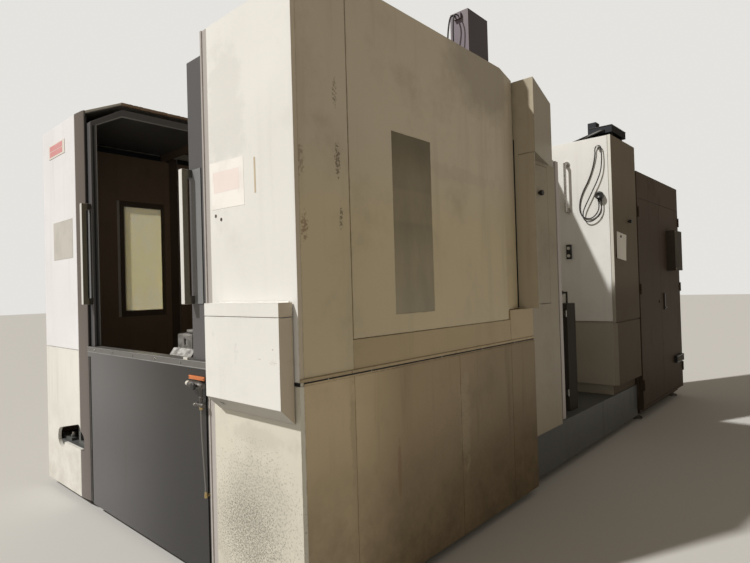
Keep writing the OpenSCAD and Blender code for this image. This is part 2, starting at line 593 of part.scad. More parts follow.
// Rotating H-shaped carrier with the upright partition between the pallets
module changer_arm() color("slategray") place() {
    cz_(xm, chg_y, fork_z - 60, fork_z + fork_t, 190);
    bx(xm - neck / 2 - 70, xm + neck / 2 + 70, chg_y - 180, chg_y + 180, fork_z, fork_z + fork_t);
    for (s = [-1, 1]) {
        x = xm + s * (neck / 2 + 40);
        bx(x - 30, x + 30, chg_y - swap_r - 360, chg_y + swap_r + 360, fork_z, fork_z + fork_t);
    }
    bx(xm - 900, xm + 900, chg_y - 12, chg_y + 12, fork_z + 20, 2350);
}
// Two machining pallets with a grid of tapped holes
module pallets() color("gray") place() for (s = [-1, 1]) translate([xm, chg_y + s * swap_r, 0]) {
    difference() {
        bx(-pallet / 2, pallet / 2, -pallet / 2, pallet / 2, fork_z + fork_t, pallet_h);
        for (i = [-3 : 3]) for (j = [-3 : 3]) if ((i + j) % 2 == 0)
            cz_(i * 100, j * 100, pallet_h - 30, pallet_h + 1, 8);
    }
    bx(-neck / 2, neck / 2, -neck / 2, neck / 2, neck_z, fork_z + fork_t + 1);
}
// Small clamping block on a wedge-shaped foot, slotted through, with a flat knob and its pin
module fixture_block() color("silver") place() translate([xm - 75, chg_y - swap_r - 150, pallet_h]) {
    along_x(-150, 150, [[-118, 0], [118, 0], [118, 45], [82, 95], [-82, 95], [-118, 45]]);
    difference() {
        bx(-100, 100, -75, 75, 94, 190);
        bx(-14, 14, -76, 76, 118, 165);
    }
    bx(-96, 96, -71, 71, 189, 198);
    cz_(20, 0, 197, 214, 24);
    cz_(20, 0, 213, 226, 62);
    cz_(20, 0, 225, 262, 10);
    bx(14, 52, -8, 8, 250, 262);
}
// Saddle on the bed rails, and the rotary table under the rear pallet
module saddle() color("gray") place() difference() {
    bx(xm - 330, xm + 330, mach_y - 330, mach_y + 330, saddle_z, table_z - 120);
    cz_(xm, mach_y, table_z - 200, table_z - 119, 150 + seat);
}
module rotary_table() color("silver") place() {
    cz_(xm, mach_y, table_z - 200 + seat, table_z - 100, 150);
    cz_(xm, mach_y, table_z - 120 + seat, table_z, table_r);
}
module column() color("slategray") place() {
    bx(xm - 400, xm + 400, col_y, col_y + 900, col_z, col_z + 260);
    difference() {
        bx(xm - 400, xm + 400, col_y + 160, col_y + 900, col_z + 250, col_top);
        bx(xm - 210, xm + 210, col_y + 159, col_y + 700, col_z + 400, col_top - 220);
    }
    for (s = [-1, 1])
        bx(xm + s * 300 - 35, xm + s * 300 + 35, col_y + 120, col_y + 161, bed_h + 480, col_top - 60);
}
module spindle_head() color("gray") place() difference() {
    union() {
        bx(xm - 380, xm + 380, col_y + 40, col_y + 120 - seat, spin_z - 260, spin_z + 260);
        cy_(xm, spin_z, col_y - 260, col_y + 60, 150);
        bx(xm - 170, xm + 170, col_y + 119, col_y + 420, spin_z - 170, spin_z + 170);
    }
    cy_(xm, spin_z, col_y - 261, col_y + 20, 90 + seat);
}
module spindle() color("silver") place() {
    cy_(xm, spin_z, col_y - 380, col_y + 20 - seat, 90);
    cy_(xm, spin_z, col_y - 440, col_y - 379, 48);
    cy_(xm, spin_z, col_y - 520, col_y - 439, 20);
}

// Air gun in its clip on the apron under a blank tag, its stem down to a small valve, and the
// hose fitting at the foot
module air_gun() color("dimgray") place() {
    bx(xr - 202, xr - 38, -4, 5, 1124, 1144);
    bx(xr - 112, xr - 84, -30, 5, 1086, 1118);
    cx_(-32, 1104, xr - 145, xr - 2, 19);
    cx_(-32, 1107, xr - 170, xr - 144, 14);
    cy_(xr - 44, 1105, -64, -32, 8);
    cy_(xr - 44, 1105, -72, -58, 19);
    cz_(xr - 22, -32, 1000, 1100, 9);
    cx_(-32, 1000, xr - 76, xr + 2, 13);
    cx_(-32, 998, xr - 98, xr - 75, 8);
    bx(xr - 62, xr - 46, -30, 5, 992, 1008);
    cz_(xr - 22, -32, 976, 1001, 11);
    cz_(xr - 25, -14, 498, 530, 9);
    cy_(xr - 25, 510, -14, 17, 7);
}
module air_hose() color("black") place()
    tube(smooth([for (q = hose) [xr + q[0], q[1], q[2]]], 3), 6);

bed();
leveling_feet();
main_frame();
front_panel();
front_skirts();
left_pillar();
front_trims();
apron();
door_track();
left_wall();
left_window();
corner_panel();
side_sill();
side_skirt();
belt_lip();
side_door();
side_window();
roof();
roof_box();
roof_leads();
setup_door_left();
setup_door_right();
handle_left();
handle_right();
side_tower();
tower_door();
tower_knob();
tower_rails();
rear_housing();
lube_cabinet();
filter_bowl();
magazine_housing();
magazine_door();
magazine_handle();
button_box();
button_upper();
button_lower();
lead_hook();
lead_plug();
hanging_lead();
side_knob();
doc_sleeve();
tool_disc();
tool_holders();
electrical_cabinet();
cabinet_door_front();
cabinet_door_rear();
heat_exchanger();
console_box();
console_lid();
changer_arm();
pallets();
fixture_block();
saddle();
rotary_table();
column();
spindle_head();
spindle();
air_gun();
air_hose();
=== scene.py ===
"""Looks of a CNC machining centre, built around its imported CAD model.

Places are laid out as in the model's source, in millimetres from the front right corner of the
enclosure at floor level (x runs negative to the left, y to the rear), and near() turns them into
metres in the row frame.
"""
import math
import random

import bmesh
import bpy
from mathutils import Matrix, Vector


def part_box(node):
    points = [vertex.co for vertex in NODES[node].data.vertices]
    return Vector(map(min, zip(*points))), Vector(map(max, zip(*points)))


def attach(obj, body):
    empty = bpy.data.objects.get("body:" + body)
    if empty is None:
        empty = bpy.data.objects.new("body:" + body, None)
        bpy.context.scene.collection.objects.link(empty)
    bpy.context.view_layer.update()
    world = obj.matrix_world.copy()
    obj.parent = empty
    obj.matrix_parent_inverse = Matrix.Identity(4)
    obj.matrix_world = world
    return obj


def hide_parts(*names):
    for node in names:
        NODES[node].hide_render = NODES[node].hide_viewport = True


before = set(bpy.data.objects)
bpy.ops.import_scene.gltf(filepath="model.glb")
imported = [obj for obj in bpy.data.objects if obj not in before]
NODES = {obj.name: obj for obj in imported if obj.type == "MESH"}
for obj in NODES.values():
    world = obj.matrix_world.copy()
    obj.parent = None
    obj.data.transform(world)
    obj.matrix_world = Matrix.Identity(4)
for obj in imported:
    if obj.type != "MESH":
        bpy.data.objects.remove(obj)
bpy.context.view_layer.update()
MM = 0.001
CORNER_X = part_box("front_panel")[1].x
CORNER_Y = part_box("front_panel")[0].y
X, Y, Z = Vector((1, 0, 0)), Vector((0, 1, 0)), Vector((0, 0, 1))


def x_at(x):
    return CORNER_X + x * MM


def y_at(y):
    return CORNER_Y + y * MM


def near(x, y, z):
    """A place in millimetres from the front right corner, as a point in the row frame."""
    return Vector((x_at(x), y_at(y), z * MM))


# Places shared with the model's source
SKIN = 25
FOOT_H = 70
BED_H = 420
BELT_H = 1190
LIP_H = 1205
ROOF_H = 3150
OPEN_R = -765
OPEN_L = -2490
PILLAR_R = -2647
WALL_L = -3400
TRACK_H = 1225
DOOR_Y = 35
WINDOW_Y = (683, 1037)
WINDOW_Z = (1460, 2455)
TOWER_Y = 2200
MAG_Y = 4200
MAG_E = 5000
MAG_HINGE = -33
CAB_SPLIT = 5930
UNIT_Y = (6240, 6600)
UNIT_Z = (1730, 2250)
UNIT_OUT = 105


def add_object(name, data):
    """A new object of the scene."""
    obj = bpy.data.objects.new(name, data)
    bpy.context.scene.collection.objects.link(obj)
    return obj


# Camera, at the photograph's place and angle
CAM_PLACE = (3.494, -4.932, 1.600)
CAM_YAW = math.radians(42.06)
CAM_PITCH = math.radians(0.777)
CAM_ROLL = math.radians(1.629)
CAM_LENS = 25.646
CAM_SENSOR = 36.0


def make_camera():
    """The camera, level but for its small pitch and roll."""
    data = bpy.data.cameras.new("camera")
    data.sensor_fit = "HORIZONTAL"
    data.sensor_width = CAM_SENSOR
    data.lens = CAM_LENS
    data.clip_start, data.clip_end = 0.05, 200
    cam = add_object("camera", data)
    ahead = Vector((-math.sin(CAM_YAW) * math.cos(CAM_PITCH),
                    math.cos(CAM_YAW) * math.cos(CAM_PITCH), math.sin(CAM_PITCH)))
    right = Vector((math.cos(CAM_YAW), math.sin(CAM_YAW), 0))
    down = ahead.cross(right)
    image_x = math.cos(CAM_ROLL) * right + math.sin(CAM_ROLL) * down
    image_y = math.cos(CAM_ROLL) * down - math.sin(CAM_ROLL) * right
    turn = Matrix((image_x, -image_y, -ahead)).transposed()
    cam.matrix_world = Matrix.Translation(CAM_PLACE) @ turn.to_4x4()
    bpy.context.scene.camera = cam


# Node materials
class Shade:
    """Builds the nodes of one material. Inputs are sockets or plain values."""

    def __init__(self, name):
        self.mat = bpy.data.materials.new(name)
        self.mat.use_nodes = True
        self.nodes = self.mat.node_tree.nodes
        self.links = self.mat.node_tree.links
        self.bsdf = self.nodes["Principled BSDF"]
        spot = self.node("TexCoord")
        self.place = spot.outputs["Object"]
        self.normal = spot.outputs["Normal"]

    def put(self, socket, value):
        """Links a socket to another one, or sets a plain value on it."""
        if isinstance(value, bpy.types.NodeSocket):
            self.links.new(value, socket)
        else:
            socket.default_value = rgba(value) if socket.type == "RGBA" else value

    def node(self, kind, *values, **settings):
        """A new node with its settings, and with values for its first inputs."""
        n = self.nodes.new("ShaderNode" + kind)
        for name, value in settings.items():
            setattr(n, name, value)
        for socket, value in zip(n.inputs, values):
            self.put(socket, value)
        return n

    def math(self, kind, a, b=0.0, clamp=False):
        return self.node("Math", a, b, operation=kind, use_clamp=clamp).outputs[0]

    def times(self, a, b):
        return self.math("MULTIPLY", a, b)

    def vector(self, kind, a, b=(0, 0, 0)):
        n = self.node("VectorMath", a, b, operation=kind)
        return n.outputs["Value" if kind in ("LENGTH", "DOT_PRODUCT") else "Vector"]

    def ramp(self, value, low, high, start=0.0, end=1.0):
        return self.node("MapRange", value, low, high, start, end,
                         interpolation_type="SMOOTHSTEP").outputs[0]

    def noise(self, scale, detail=4.0, rough=0.55, stretch=(1, 1, 1), shift=(0, 0, 0)):
        n = self.node("TexNoise", self.vector("MULTIPLY", self.vector("ADD", self.place, shift), stretch))
        for name, value in (("Scale", scale), ("Detail", detail), ("Roughness", rough)):
            self.put(n.inputs[name], value)
        return n.outputs["Fac"]

    def axis(self, i):
        return self.node("SeparateXYZ", self.place).outputs[i]

    def mix(self, share, a, b, blend="MIX"):
        """Colour b over colour a, as far as the share says."""
        n = self.node("Mix", share, data_type="RGBA", blend_type=blend)
        for name, value in (("A", a), ("B", b)):
            self.put([i for i in n.inputs if i.name == name and i.type == "RGBA"][0], value)
        return [o for o in n.outputs if o.type == "RGBA"][0]

    def away(self, centre, radii):
        """Distance from a place in the row frame: 1 at the radii, which are in millimetres."""
        apart = self.vector("SUBTRACT", self.place, tuple(centre))
        return self.vector("LENGTH", self.vector("MULTIPLY", apart, tuple(1 / (r * MM) for r in radii)))

    def facing(self, way):
        """1 on faces that look along a direction."""
        return self.ramp(self.vector("DOT_PRODUCT", self.normal, tuple(way)), 0.55, 0.8)

    def edges(self, radius):
        """1 along folds and corners, 0 on flat sheet."""
        n = self.node("Bevel", radius, samples=4)
        normal = self.node("NewGeometry").outputs["Normal"]
        return self.ramp(self.vector("DOT_PRODUCT", n.outputs[0], normal), 0.985, 0.86)

    def bump(self, height, strength, depth):
        n = self.node("Bump")
        for name, value in (("Strength", strength), ("Distance", depth), ("Height", height)):
            self.put(n.inputs[name], value)
        self.put(self.bsdf.inputs["Normal"], n.outputs[0])

    def colour(self, value):
        self.put(self.bsdf.inputs["Base Color"], value)

    def set(self, **values):
        """Sets sockets of the shader by their names in lower case."""
        for name, value in values.items():
            self.put(self.bsdf.inputs[name.replace("_", " ").title().replace("Ior", "IOR")], value)


def rgba(colour):
    return (*colour, 1.0) if len(colour) == 3 else colour


def scaled(colour, share):
    return tuple(c * share for c in colour)


def mark_on(s, colour, centre, radii, tint, strength, ragged=0.9, grain=38.0):
    """A stain with a ragged edge, round a place in the row frame."""
    edge = s.times(s.math("SUBTRACT", s.noise(grain, 5, 0.7), 0.5), ragged * 2)
    share = s.ramp(s.math("ADD", s.away(centre, radii), edge), 1.05, 0.55, 0.0, strength)
    return s.mix(share, colour, tint)


def flecks_on(s, colour, centre, radii, tint, strength, size=0.006, cover=0.5):
    """A patch of small dark flecks that thins out to its edge, round a place in the row frame."""
    inside = s.ramp(s.away(centre, radii), 1.0, 0.3)
    level = s.math("ADD", s.noise(1 / size, 2, 0.6), s.times(inside, cover * 0.3))
    share = s.times(s.ramp(level, 0.60, 0.68, 0.0, strength), s.ramp(inside, 0.0, 0.15))
    return s.mix(share, colour, tint)


def fade(axis, low, high, tint):
    """Tints a paint more and more along an axis, between two places in metres."""
    return lambda s, c: s.mix(s.ramp(s.axis(axis), low, high), c, tint, "MULTIPLY")


def band(axis, low, high, tint, soft=0.004):
    """Tints a paint between two places on an axis."""
    def put(s, c):
        share = s.times(s.ramp(s.axis(axis), low - soft, low), s.ramp(s.axis(axis), high + soft, high))
        return s.mix(share, c, tint, "MULTIPLY")
    return put


def painted_light_on_faces(way, tint):
    """Lightens or darkens the faces that look along a direction: painted light and shade by facing."""
    return lambda s, c: s.mix(s.facing(way), c, tint, "MULTIPLY")


def stain(*spot):
    """A stain as a mark of a paint: centre, radii, colour, strength, raggedness and grain."""
    return lambda s, c: mark_on(s, c, *spot)


def flecks(*spot):
    """Flecks as a mark of a paint: centre, radii, colour, strength, size and cover."""
    return lambda s, c: flecks_on(s, c, *spot)


def painted(name, colour, dirt=(0.13, 0.10, 0.065), rough=0.42, patches=0.3, streaks=0.3,
            low=0.0, edge=0.5, fine=0.25, marks=(), peel=0.12, tints=(), gloss=0.5):
    """Sprayed sheet metal: uneven film, soiled patches, run-down streaks and grimy folds, under tints and
    marks; some tints are painted light and shade.
    """
    s = Shade(name)
    film = s.ramp(s.noise(0.9, 3, 0.5), 0.3, 0.7)
    base = s.mix(film, scaled(colour, 0.94), scaled(colour, 1.04))
    blotch = s.ramp(s.noise(2.2, 8, 0.68, shift=(3, 1, 7)), 0.48, 0.78, 0.0, patches)
    runs = s.ramp(s.noise(9.0, 6, 0.6, stretch=(1, 1, 0.07)), 0.5, 0.8, 0.0, streaks)
    specks = s.ramp(s.noise(60.0, 3, 0.7), 0.62, 0.78, 0.0, fine)
    folds = s.times(s.edges(0.012), edge)
    rubbed = s.times(folds, s.ramp(s.noise(14.0, 5, 0.7), 0.35, 0.65))
    grime = s.math("MAXIMUM", s.math("MAXIMUM", blotch, runs), rubbed)
    if low:
        foot = s.ramp(s.axis(2), 1.1, 0.05, 0.0, low)
        grime = s.math("MAXIMUM", grime, s.times(foot, s.ramp(s.noise(5.0, 7, 0.7), 0.25, 0.7)))
    grime = s.math("ADD", grime, s.times(specks, 0.35), clamp=True)
    paint = s.mix(grime, base, dirt)
    for put in (*tints, *marks):
        paint = put(s, paint)
    s.colour(paint)
    s.set(roughness=s.ramp(grime, 0.0, 1.0, rough, min(rough + 0.35, 0.95)), specular_ior_level=gloss)
    s.bump(s.noise(420.0, 2, 0.5), peel, 0.0006)
    return s.mat


def metal(name, colour, rough=0.3, grain=(1, 1, 1), scale=160.0, stain=0.3, tint=(0.05, 0.04, 0.03)):
    """Bare metal with machining or brush lines, oil stains and dulled folds."""
    s = Shade(name)
    lines = s.noise(scale, 3, 0.6, stretch=grain)
    base = s.mix(s.ramp(lines, 0.3, 0.7), scaled(colour, 0.8), scaled(colour, 1.08))
    stains = s.ramp(s.noise(6.0, 7, 0.65), 0.5, 0.75, 0.0, stain)
    worn = s.times(s.edges(0.006), 0.35)
    s.colour(s.mix(stains, s.mix(worn, base, scaled(colour, 1.3)), tint))
    s.set(metallic=0.9, roughness=s.ramp(s.noise(22.0, 4, 0.6), 0.3, 0.7, rough * 0.8, rough * 1.5))
    s.bump(lines, 0.15, 0.0003)
    return s.mat


def plastic(name, colour, rough=0.45, dust=0.2, tint=(0.2, 0.17, 0.13)):
    """Moulded plastic or rubber with fine texture, and dust on it."""
    s = Shade(name)
    cloud = s.ramp(s.noise(18.0, 6, 0.65), 0.45, 0.8, 0.0, dust)
    worn = s.times(s.edges(0.004), 0.3)
    s.colour(s.mix(cloud, s.mix(worn, colour, scaled(colour, 1.8)), tint))
    s.set(roughness=s.ramp(cloud, 0.0, 0.6, rough, min(rough + 0.3, 1.0)))
    s.bump(s.noise(900.0, 2, 0.5), 0.2, 0.0003)
    return s.mat


def glass(name, colour, rough, clear=0.0, haze=0.35, glow=0.0, tints=()):
    """Window sheet: tinted, dusty, partly clear, or milky so that light from outside comes through."""
    s = Shade(name)
    film = s.ramp(s.noise(3.5, 7, 0.65, stretch=(1, 1, 0.4)), 0.35, 0.75, 0.0, haze)
    sheet = s.mix(film, colour, tuple(min(c * 1.7, 0.97) for c in colour))
    for put in tints:
        sheet = put(s, sheet)
    s.colour(sheet)
    s.set(roughness=s.ramp(film, 0.0, 1.0, rough, rough + 0.3))
    if clear:
        s.set(alpha=s.ramp(film, 0.0, 1.0, 1.0 - clear, 1.0 - clear * 0.7))
    if glow:
        s.set(subsurface_weight=glow, subsurface_radius=(1.0, 0.9, 0.7), subsurface_scale=0.04,
              subsurface_anisotropy=0.8)
    s.bump(s.noise(1.6, 2, 0.5), 0.2, 0.004)
    return s.mat


def paper(name, colour, tint):
    """Aged sheet with soft creases."""
    s = Shade(name)
    old = s.ramp(s.noise(7.0, 6, 0.6), 0.4, 0.75, 0.0, 0.6)
    s.colour(s.mix(old, colour, tint))
    s.set(roughness=0.75)
    s.bump(s.noise(30.0, 4, 0.5), 0.3, 0.0012)
    return s.mat


# Colours of the paints and of the dirt on them, as surface colours in linear light; some paints hold painted
# shade
CREAM = (0.77, 0.76, 0.73)
SKIRT = (0.64, 0.61, 0.52)
# The side, lower side, tower, magazine and cabinet colours below are darkened as painted shade: the side,
# tower and magazine are the cream paint with dirt, the cabinet is a darker paint darkened further
TAN_SHADED = (0.52, 0.45, 0.34)
TAN_LOW_SHADED = (0.555, 0.44, 0.27)
TOWER_SHADED = (0.30, 0.26, 0.19)
REAR = (0.64, 0.60, 0.52)
MAGAZINE_SHADED = (0.165, 0.135, 0.095)
CABINET_SHADED = (0.074, 0.054, 0.037)
CHARCOAL = (0.094, 0.093, 0.097)
BROWN = (0.27, 0.19, 0.125)
BLACK = (0.010, 0.011, 0.015)
GRIME = (0.10, 0.075, 0.045)
DUST = (0.17, 0.15, 0.12)
SOOT = (0.12, 0.1, 0.08)
OIL = (0.02, 0.015, 0.01)
OIL_THIN = (0.03, 0.025, 0.02)
RUST = (0.16, 0.07, 0.025)
# Painted shade: the tint that turns the cream paint's right-facing faces into the shaded side colour
SIDE_SHADE_ON_FRONT = tuple(a / b for a, b in zip(TAN_SHADED, CREAM))


def side(y, z):
    """A place on the right side."""
    return near(0, y, z)


def face(x, z):
    """A place on the front."""
    return near(x, 0, z)


def make_materials():
    """All materials of the machine by their short names; heights in the tints are metres."""
    side_marks = [
        flecks(side(262, 2560), (30, 20, 110), GRIME, 0.6, 0.011, 0.5),
        flecks(side(271, 2228), (30, 24, 112), GRIME, 0.75, 0.012, 0.62),
        flecks(side(285, 1957), (30, 18, 84), GRIME, 0.75, 0.012, 0.6),
        flecks(side(52, 1897), (30, 30, 90), RUST, 0.6, 0.011, 0.6),
        flecks(side(36, 2201), (30, 30, 100), (0.2, 0.15, 0.1), 0.6, 0.011, 0.6),
        stain(side(1340, 2300), (30, 500, 60), scaled(TAN_SHADED, 0.75), 0.3, 1.2, 9.0),
        stain(side(1750, 3020), (60, 520, 330), scaled(TAN_SHADED, 0.58), 0.75, 0.5, 4.0),
    ]
    front_marks = [
        stain(face(-550, 2520), (190, 30, 520), scaled(CREAM, 0.8), 0.4, 1.2, 6.0),
        flecks(face(-181, 1295), (34, 120, 5), RUST, 0.9, 0.006, 1.2),
        flecks(face(-76, 1343), (26, 120, 5), RUST, 0.9, 0.006, 1.2),
        flecks(face(-76, 1286), (60, 120, 30), RUST, 0.8, 0.005, 0.4),
        stain(face(-541, 1047), (26, 120, 14), (0.05, 0.04, 0.03), 0.95, 0.9, 50.0),
        flecks(face(-480, 1200), (70, 120, 110), GRIME, 0.2, 0.006, 0.3),
        stain(face(-370, 1320), (22, 120, 60), scaled(CREAM, 0.7), 0.4, 1.3, 40.0),
        stain(face(-560, 1390), (16, 120, 40), scaled(CREAM, 0.7), 0.3, 1.3, 40.0),
    ]
    skirt_marks = [
        stain(face(-330, 600), (300, 60, 230), scaled(SKIRT, 0.7), 0.45, 1.3, 5.0),
        flecks(face(-360, 500), (470, 60, 470), scaled(SKIRT, 0.42), 0.6, 0.011, 0.34),
        flecks(face(-430, 400), (360, 60, 330), scaled(SKIRT, 0.22), 0.72, 0.008, 0.42),
        stain(face(-300, 900), (330, 60, 70), scaled(SKIRT, 0.74), 0.4, 1.2, 7.0),
    ]
    side_low_marks = [
        stain(side(674, 625), (30, 18, 160), RUST, 0.4, 1.2, 20.0),
        stain(side(1330, 800), (30, 60, 330), scaled(TAN_LOW_SHADED, 0.6), 0.5, 1.1, 12.0),
        stain(side(330, 900), (30, 26, 280), scaled(TAN_LOW_SHADED, 0.55), 0.45, 1.1, 16.0),
        flecks(side(1500, 760), (30, 800, 420), (0.2, 0.16, 0.11), 0.4, 0.01, 0.3),
    ]
    # The lower side darkens towards the rear as painted shade, and darkens towards the floor
    low_tints = [fade(1, y_at(250), y_at(800), (0.57, 0.54, 0.49)),
                 fade(1, y_at(900), y_at(2250), (0.64, 0.59, 0.46)),
                 fade(2, 1.05, 0.35, (0.70, 0.68, 0.66))]
    # The magazine paint is darkened as painted shade except on faces that look forward, which get the cream
    # back; it darkens further downwards as painted shade, and above 3.129 m it is tinted near black
    magazine_tints = [painted_light_on_faces(-Y, (4.3, 5.2, 6.7)), band(2, 3.129, 3.5, (0.05, 0.055, 0.07)),
                      fade(2, 2.75, 2.2, (0.80, 0.78, 0.77)), fade(2, 1.75, 1.35, (0.66, 0.63, 0.59))]
    apron_tints = [fade(0, x_at(-2400), x_at(-1000), (0.205, 0.195, 0.185)),
                   fade(2, 1.0, 0.5, (0.75, 0.75, 0.78))]
    # The handles' faces that look right are darkened as painted shade; the handle paint also darkens from its
    # front face backwards
    handle_tints = [painted_light_on_faces(X, (0.24, 0.22, 0.17)), fade(1, y_at(-4), y_at(12), (0.3, 0.31, 0.33))]
    return {
        # On the cream paint, faces that look right take the shaded side colour and faces that look down are
        # darkened: painted shade
        "cream": painted("cream_front", CREAM, patches=0.12, streaks=0.1, edge=0.3, marks=front_marks,
                         tints=[painted_light_on_faces(X, SIDE_SHADE_ON_FRONT), painted_light_on_faces(-Z, (0.42, 0.40, 0.36))]),
        "pillar": painted("cream_pillar", (0.82, 0.81, 0.83), patches=0.1, streaks=0.1, edge=0.3,
                          fine=0.12),
        "skirt": painted("cream_low", SKIRT, streaks=0.25, low=0.35, marks=skirt_marks,
                         tints=[fade(0, x_at(-2400), x_at(-2700), (1.24, 1.28, 1.40))]),
        "side": painted("cream_side", TAN_SHADED, patches=0.28, streaks=0.22, edge=0.6, marks=side_marks,
                        tints=[fade(2, 2.4, 1.9, (1.03, 1.01, 0.88))]),
        "sill": painted("cream_sill", (0.41, 0.32, 0.185), streaks=0.25, edge=0.6),
        "side_low": painted("cream_side_low", TAN_LOW_SHADED, streaks=0.45, low=0.5,
                            marks=side_low_marks, tints=low_tints),
        # The tower's paint is the cream darkened as painted shade; its faces that look forward are darkened
        # less
        "tower": painted("cream_tower", TOWER_SHADED, tints=[painted_light_on_faces(-Y, (1.4, 1.4, 1.4))]),
        "magazine": painted("cream_magazine", MAGAZINE_SHADED, rough=0.6, tints=magazine_tints, gloss=0.12),
        "roof": painted("cream_roof", (0.62, 0.59, 0.53), patches=0.2, streaks=0.1, fine=0.4),
        "rear": painted("cream_rear", REAR, patches=0.22, low=0.4),
        "cabinet": painted("cabinet_paint", CABINET_SHADED, (0.04, 0.03, 0.02), 0.6, 0.35,
                           tints=[fade(2, 2.6, 2.2, (0.88, 0.87, 0.89))], gloss=0.12),
        "charcoal": painted("charcoal_paint", CHARCOAL, DUST, 0.38, 0.15, 0.2, edge=0.4),
        "apron": painted("apron_paint", scaled(CHARCOAL, 1.27), DUST, 0.38, 0.2, tints=apron_tints),
        # Faces of the dark grey paint that look right are darkened: painted shade
        "dark_grey": painted("dark_grey_paint", (0.05, 0.046, 0.041), SOOT, 0.6, 0.2, 0.2,
                             tints=[painted_light_on_faces(X, (0.55, 0.5, 0.43))], gloss=0.12),
        # Above 2.95 m the interior brown turns bluish black: painted shadow under the roof leaf
        "brown": painted("interior_brown", BROWN, (0.03, 0.02, 0.012), 0.5,
                         tints=[fade(2, 2.945, 2.955, (0.06, 0.09, 0.16))]),
        "brown_dark": painted("interior_edge", scaled(BROWN, 0.45), OIL, 0.5),
        "black": painted("interior_black", BLACK, OIL_THIN, 0.45, 0.2, 0.2),
        "frame": painted("frame_paint", scaled(BROWN, 0.6), OIL, 0.5, 0.35, 0.25),
        "grey_trim": painted("trim_grey", (0.42, 0.39, 0.37), (0.2, 0.17, 0.14), 0.35, 0.15, 0.15,
                             tints=[fade(0, x_at(-1500), x_at(-2480), (0.32, 0.29, 0.28))]),
        "cast": painted("cast_paint", (0.085, 0.09, 0.09), OIL_THIN, 0.45, 0.4, peel=0.3),
        # The roof box's faces that look forward are lighter than the rest: painted light and shade by facing
        "box_grey": painted("roof_box_grey", (0.054, 0.043, 0.056), streaks=0.4,
                            tints=[painted_light_on_faces(-Y, (2.8, 2.9, 2.7))]),
        "rusty": painted("rusty_edge", (0.34, 0.25, 0.17), RUST, 0.7, 0.8, 0.4, edge=0.9, fine=0.8, peel=0.8),
        "light_edge": painted("light_flange", (0.26, 0.26, 0.26), SOOT, 0.35, 0.2, 0.2),
        "track": painted("track_paint", (0.13, 0.125, 0.12), (0.05, 0.04, 0.03), 0.32, 0.25, 0.35, edge=0.6),
        "steel": metal("steel", (0.45, 0.44, 0.42), 0.32, (1, 1, 0.05)),
        "handle": painted("handle_paint", (0.72, 0.71, 0.68), (0.2, 0.17, 0.13), 0.3, 0.1, 0.2, edge=0.3,
                          tints=handle_tints),
        "bright": metal("bright_steel", (0.62, 0.61, 0.59), 0.22, (1, 1, 0.05), stain=0.12),
        "machined": metal("machined_steel", (0.42, 0.41, 0.39), 0.3, (0.06, 1, 1)),
        "fixture": metal("fixture_steel", (0.50, 0.49, 0.47), 0.42, (0.3, 1, 1), 60.0, stain=0.15),
        "dull": metal("dull_steel", (0.16, 0.15, 0.14), 0.5, (1, 1, 0.1), stain=0.5),
        "brass": metal("brass", (0.55, 0.42, 0.2), 0.35),
        "rubber": plastic("rubber", (0.014, 0.014, 0.014), 0.6, 0.15),
        "seal": plastic("seal_rubber", (0.010, 0.010, 0.010), 0.7, 0.2, (0.06, 0.05, 0.04)),
        "hose": plastic("air_hose_grey", (0.16, 0.155, 0.15), 0.5, 0.3),
        "plastic": plastic("black_plastic", (0.016, 0.016, 0.017), 0.38, 0.15),
        "grey_plastic": painted("unit_brown", (0.052, 0.043, 0.032), rough=0.6, patches=0.25, streaks=0.2,
                                gloss=0.12),
        "white_plastic": plastic("white_plastic", (0.62, 0.60, 0.54), 0.35, 0.2),
        "orange": plastic("orange_tag", (0.62, 0.19, 0.06), 0.5, 0.35, (0.4, 0.2, 0.12)),
        "window_light": glass("window_light", (0.97, 0.83, 0.58), 0.4, glow=0.9),
        "window_smoke": glass("window_smoke", (0.12, 0.10, 0.062), 0.16,
                              tints=[fade(2, 2.42, 2.18, (1.65, 1.65, 1.75)),
                                     band(2, 1.98, 2.13, (1.12, 1.12, 1.12), 0.03),
                                     fade(2, 2.0, 1.75, (1.25, 1.3, 1.3))]),
        "clear": glass("clear_plastic", (0.55, 0.56, 0.52), 0.12, 0.55, 0.2),
        "film": glass("sleeve_film", (0.54, 0.51, 0.45), 0.3, 0.0, 0.4),
        "notice": paper("notice_sheet", (0.83, 0.81, 0.77), (0.70, 0.64, 0.60)),
        "notice_block": paper("notice_block", (0.80, 0.70, 0.67), (0.75, 0.67, 0.63)),
        "tape": paper("old_tape", (0.50, 0.42, 0.30), (0.40, 0.32, 0.22)),
        "label": paper("blank_label", (0.72, 0.68, 0.62), (0.62, 0.55, 0.50)),
        "label_block": paper("label_block", (0.62, 0.27, 0.27), (0.68, 0.40, 0.39)),
        "plate": paper("faded_plate", (0.52, 0.50, 0.46), (0.40, 0.38, 0.35)),
    }


